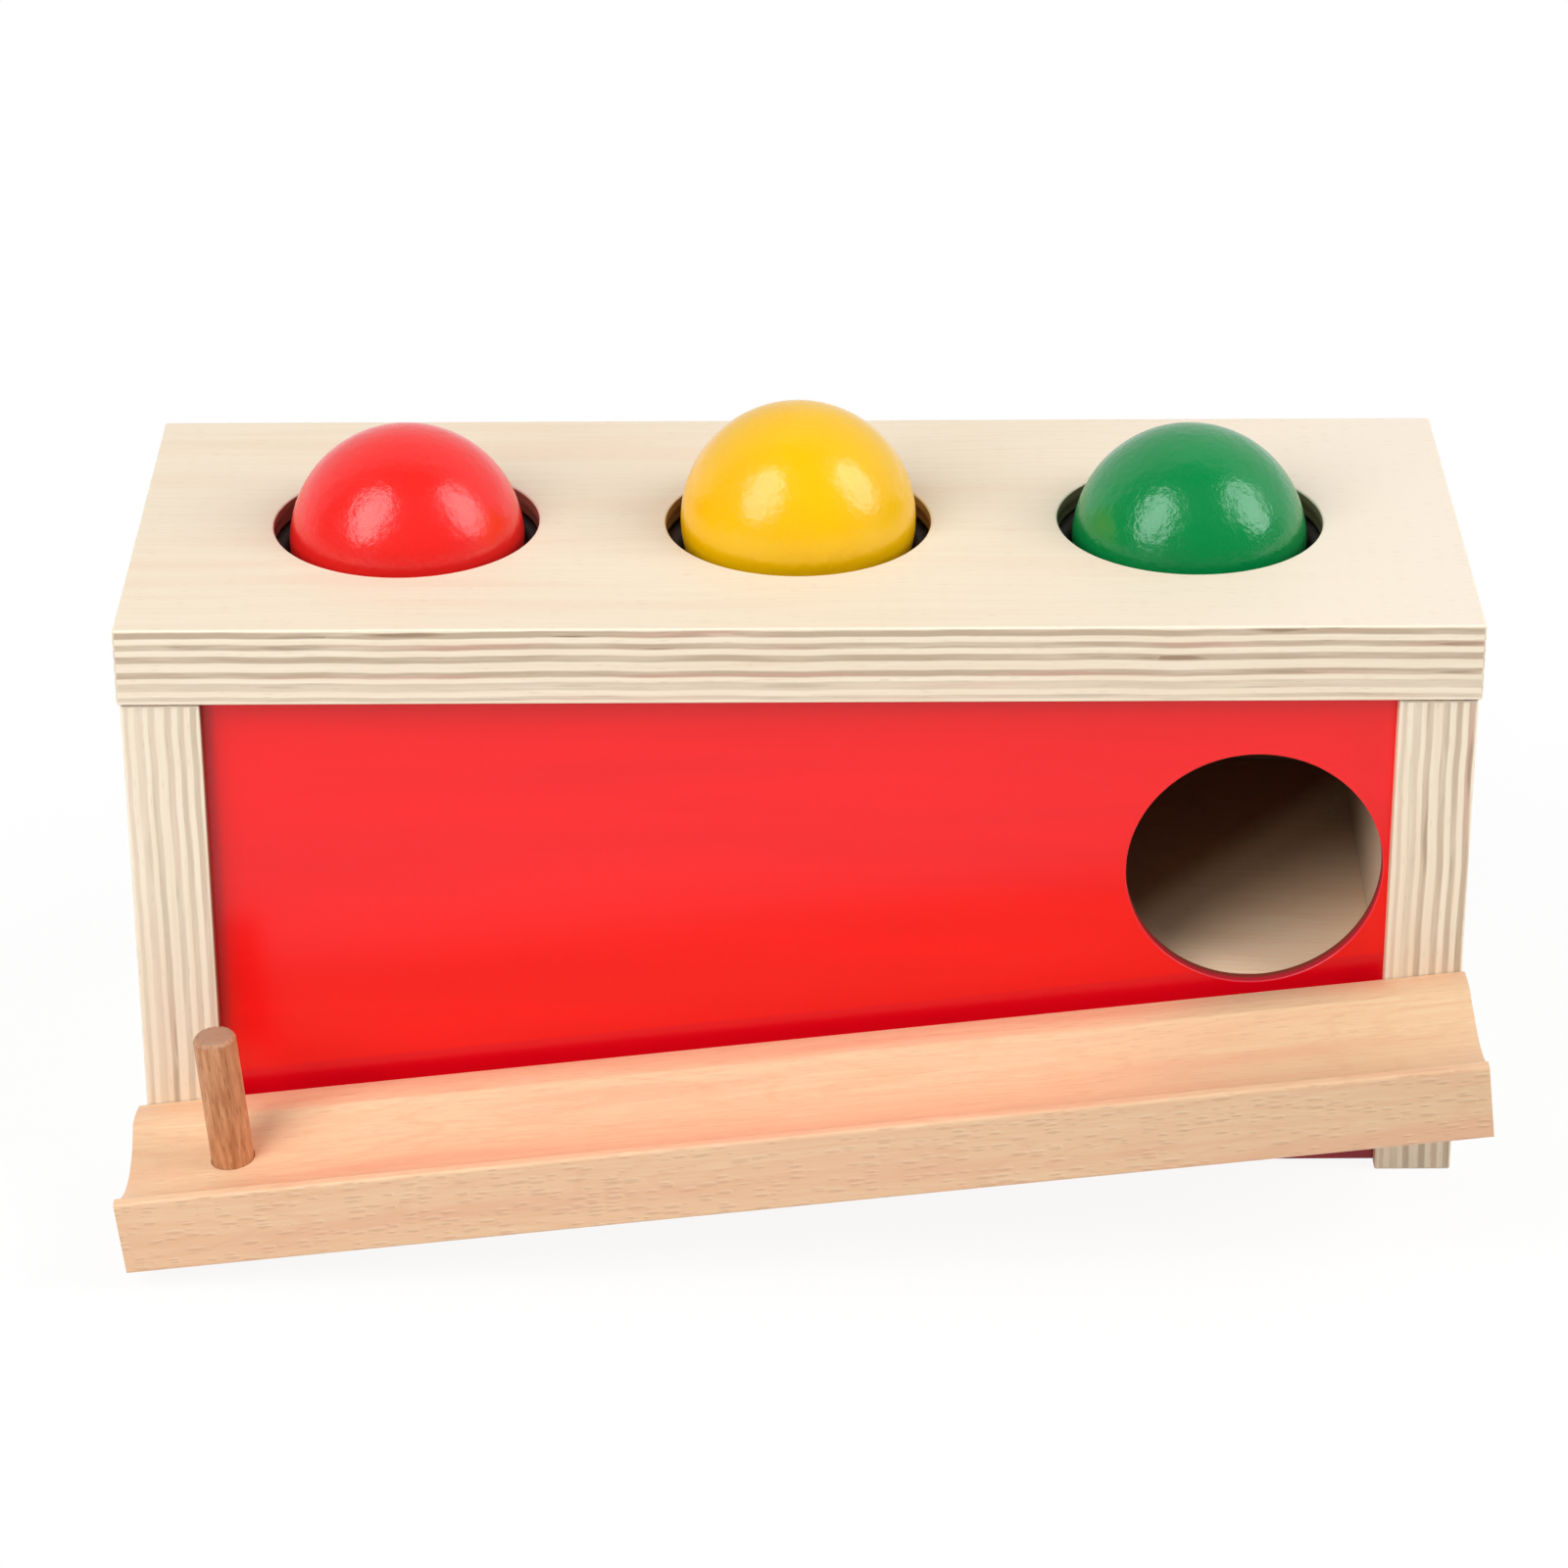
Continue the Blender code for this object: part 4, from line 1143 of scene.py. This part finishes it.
def outward(piece):
    """Merges doubles and turns all faces outwards."""
    shape = bmesh.new()
    shape.from_mesh(piece.data)
    bmesh.ops.remove_doubles(shape, verts=shape.verts, dist=HAIR)
    bmesh.ops.recalc_face_normals(shape, faces=shape.faces)
    print(piece.name, "volume, cm3:", round(shape.calc_volume(signed=True) * 1e6, 2))
    shape.to_mesh(piece.data)
    shape.free()


outward(track)
PEG_RADIUS = 4.5 * MM
PEG_HEIGHT = 30.0 * MM
PEG_LET_IN = 7.0 * MM
PEG_FROM_END = 21.8 * MM
PEG_FROM_BACK = 21.6 * MM
PEG_GAP = 0.12 * MM
PEG_LEAN = math.radians(4.7)
PEG_BORE_STEPS = 64
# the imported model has 1.0 mm here
TRACK_END_ROUND = 0.9 * MM
TRACK_END_STEPS = 4
TRACK_ROUNDED_ABOVE = math.radians(60.0)
peg_base = on_track(PEG_FROM_END - track_length / 2, PEG_FROM_BACK, -COVE_DROP)
peg_axis = Matrix.Rotation(-PEG_LEAN, 3, "Y") @ Vector((0.0, 0.0, 1.0))
peg_foot = peg_base - peg_axis * (PEG_LET_IN + GROOVE_GAP)
peg_top = peg_base + peg_axis * PEG_HEIGHT
cutters = [drill("peg_bore", PEG_RADIUS + PEG_GAP, peg_foot, peg_top, PEG_BORE_STEPS)]
cutters += [dowel_bore(name, 1) for name in ("track_dowel_left", "track_dowel_right")]
track = report(carved(track, cutters, TRACK_END_ROUND, TRACK_END_STEPS, TRACK_ROUNDED_ABOVE))

# %% [markdown]
# ## Peg
#
# A short turned rod, glued into the track and leaning with it, though a little less. Its profile is
# turned on a lathe of rings and faces. The top rim was sawn and barely sanded, so it is chipped: the
# rings near it get a small unevenness.

# %% Turn the peg
PEG_STEPS = 72
PEG_DISH = 0.1 * MM
PEG_DISH_REACH = 0.55
# how far in from the side and down from the top the worn rim passes, in mm
PEG_WORN_RIM = ((1.0, 0.05), (0.6, 0.25), (0.22, 0.7), (0.0, 1.3))
PEG_RINGS_AT = (0.8, 0.6, 0.4, 0.2, 0.05)
PEG_FOOT_CHAMFER = 0.6 * MM
CHIP_DEPTH = 0.16 * MM
CHIP_REACH = 1.0 * MM
CHIPPED_FROM = 0.6


def chip(angle):
    """How deep the rim is broken at this angle."""
    uneven = math.sin(5 * angle + 1.0) * math.sin(11 * angle) + 0.5 * math.sin(23 * angle + 2.0)
    return abs(CHIP_DEPTH * uneven)


def turned_peg():
    top = PEG_HEIGHT
    foot = -PEG_LET_IN
    profile = [(0.0, top - PEG_DISH), (PEG_RADIUS * PEG_DISH_REACH, top)]
    profile += [(PEG_RADIUS - inwards * MM, top - down * MM) for inwards, down in PEG_WORN_RIM]
    profile += [(PEG_RADIUS, top * share) for share in PEG_RINGS_AT]
    profile += [(PEG_RADIUS, foot + PEG_FOOT_CHAMFER), (PEG_RADIUS - PEG_FOOT_CHAMFER, foot), (0.0, foot)]
    shape = bmesh.new()
    rings = []
    for radius, height in profile:
        if radius == 0.0:
            rings.append([shape.verts.new((0.0, 0.0, height))] * PEG_STEPS)
            continue
        ring = []
        chipped = height > top - CHIP_REACH and radius > PEG_RADIUS * CHIPPED_FROM
        for step in range(PEG_STEPS):
            angle = 2 * math.pi * step / PEG_STEPS
            level = height - chip(angle) if chipped else height
            ring.append(shape.verts.new((radius * math.cos(angle), radius * math.sin(angle), level)))
        rings.append(ring)
    for upper, lower in zip(rings, rings[1:]):
        for step in range(PEG_STEPS):
            after = (step + 1) % PEG_STEPS
            corners = [upper[step], lower[step], lower[after], upper[after]]
            shape.faces.new(list(dict.fromkeys(corners)))
    bmesh.ops.recalc_face_normals(shape, faces=shape.faces)
    stand = Matrix.Translation(peg_base) @ Matrix.Rotation(-PEG_LEAN, 4, "Y")
    return put_shape("peg", shape, stand, peg_wood)


peg = report(smoothed(turned_peg()))

# %% [markdown]
# ## Balls
#
# A turned wooden ball is never quite round: it is off by some hundredths of a millimetre, and that
# bends its highlights. An icosphere has no poles, so its skin is even everywhere. Slow noise pushes
# its points inwards along their normals, some more than others, with another seed for each ball.

# %% Tree: turned ball
BALL_FINENESS = 6
turned_ball, given, made = new_group(
    "turned ball", ("Ball",), kind="Geometry",
    Radius=BALL_RADIUS, Centre="Vector", Out_Of_Round=0.05 * MM, Dip_Size=12.0 * MM, Seed=0.0,
    Fineness=BALL_FINENESS, Finish="Material",
)
ball = geo("MeshIcoSphere", Radius=given["Radius"], Subdivisions=given["Fineness"])
spot = shifted_by(geo("InputPosition", turned_ball), given["Seed"])
dip = minus(noise(spot, over(1.0, given["Dip Size"]), 1.0), 1.0)
push = scaled(geo("InputNormal", turned_ball), times(dip, given["Out Of Round"]))
uneven = geo("SetPosition", Geometry=ball, Offset=push)
placed = geo("Transform", Geometry=uneven, Translation=given["Centre"])
finish_group(made["Ball"], geo("SetShadeSmooth", Geometry=placed), given["Finish"])

# %% Turn the three balls
OUT_OF_ROUND = 0.06 * MM
DIP_SIZE = 11.0 * MM
FIRST_SEED = 3.0
ball_pieces = {}
for number, name in enumerate(BALLS):
    ball_pieces[name] = report(grown(
        name + "_turned", turned_ball,
        Radius=BALL_RADIUS, Centre=middle_of(name), Out_Of_Round=OUT_OF_ROUND, Dip_Size=DIP_SIZE,
        Seed=FIRST_SEED + number, Fineness=BALL_FINENESS, Finish=ball_finish[name],
    ))

# %% [markdown]
# ## Rubber rings
#
# Each ring is a moulded cord of round section with a fine line where the two halves of its mould met,
# here a dent of a tenth of a millimetre. The sweep of one small section round a circle makes it, and
# the three rings differ only in their radius, because each grips its ball at another height.

# %% Tree: rubber ring
RING_STEPS = 128
CORD_STEPS = 32
SEAM_REACH = 0.05
rubber_ring, given, made = new_group(
    "rubber ring", ("Ring",), kind="Geometry",
    Ring_Radius=28.0 * MM, Section_Radius=RING_SECTION_RADIUS, Flash=0.1 * MM, Centre="Vector",
    Steps=RING_STEPS, Finish="Material",
)
circle = {"kind": "CurvePrimitiveCircle", "mode": "RADIUS"}
path = geo(Resolution=given["Steps"], Radius=given["Ring Radius"], **circle)
profile = geo(Resolution=CORD_STEPS, Radius=given["Section Radius"], **circle)
spot = geo("InputPosition", rubber_ring)
from_seam = over(calc("ABSOLUTE", parts_of(spot)["Y"]), given["Section Radius"])
dent = times(calc("LESS_THAN", from_seam, SEAM_REACH), given["Flash"])
push = scaled(vector_calc("NORMALIZE", spot), times(dent, -1.0))
profile = geo("SetPosition", Geometry=profile, Offset=push)
swept = geo("CurveToMesh", Curve=path, Profile_Curve=profile)
placed = geo("Transform", Geometry=swept, Translation=given["Centre"])
finish_group(made["Ring"], geo("SetShadeSmooth", Geometry=placed), given["Finish"])

# %% Mould the three rings
FLASH = 0.12 * MM
ring_pieces = {}
for side, ball in zip(("left", "middle", "right"), BALLS):
    name = "rubber_ring_" + side
    ring_pieces[name] = grown(
        name + "_moulded", rubber_ring,
        Ring_Radius=ring_radius(ball), Section_Radius=RING_SECTION_RADIUS, Flash=FLASH,
        Centre=middle_of(name), Steps=RING_STEPS, Finish=rubber,
    )
    outward(ring_pieces[name])
    report(ring_pieces[name])

# %% [markdown]
# ## Boards that stay as they are
#
# The end boards, the back panel, the ramp and the dowels already have their true shape in the packed
# model. They only get their finishes.

# %% Finish the carried-over boards
FINISHES = {
    "left_end_panel": birch_left,
    "right_end_panel": birch_right,
    "back_panel": red_back,
    "ramp_board": ramp_wood,
    "track_dowel_left": dowel_lying,
    "track_dowel_right": dowel_lying,
}
FINISHES.update({name: dowel_upright for name in TOP_DOWELS})
for name, material in FINISHES.items():
    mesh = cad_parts[name].data
    mesh.materials.clear()
    mesh.materials.append(material)
print("boards and dowels finished:", len(FINISHES))

# %% [markdown]
# ## Tie the pieces to the model
#
# Each new piece names the node that it stands for, the body that it moves with and the finish in
# the record that it takes. Everything rides on the box, but for the three balls.

# %% Ride and replace
TIES = (
    (top_board, "top_plate", "box", "birch_plywood"),
    (front_board, "front_panel", "box", "red_panel"),
    (track, "ball_track", "box", "beech"),
    (peg, "stop_peg", "box", "peg_wood"),
    (ring_pieces["rubber_ring_left"], "rubber_ring_left", "box", "ring_rubber"),
    (ring_pieces["rubber_ring_middle"], "rubber_ring_middle", "box", "ring_rubber"),
    (ring_pieces["rubber_ring_right"], "rubber_ring_right", "box", "ring_rubber"),
    (ball_pieces["red_ball"], "red_ball", "ball_in_left_bore", "red_ball_lacquer"),
    (ball_pieces["yellow_ball"], "yellow_ball", "ball_in_middle_bore", "yellow_ball_lacquer"),
    (ball_pieces["green_ball"], "green_ball", "ball_in_right_bore", "green_ball_lacquer"),
)
for piece, replaced, body, finish_slot in TIES:
    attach(piece, body)
    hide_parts(replaced)
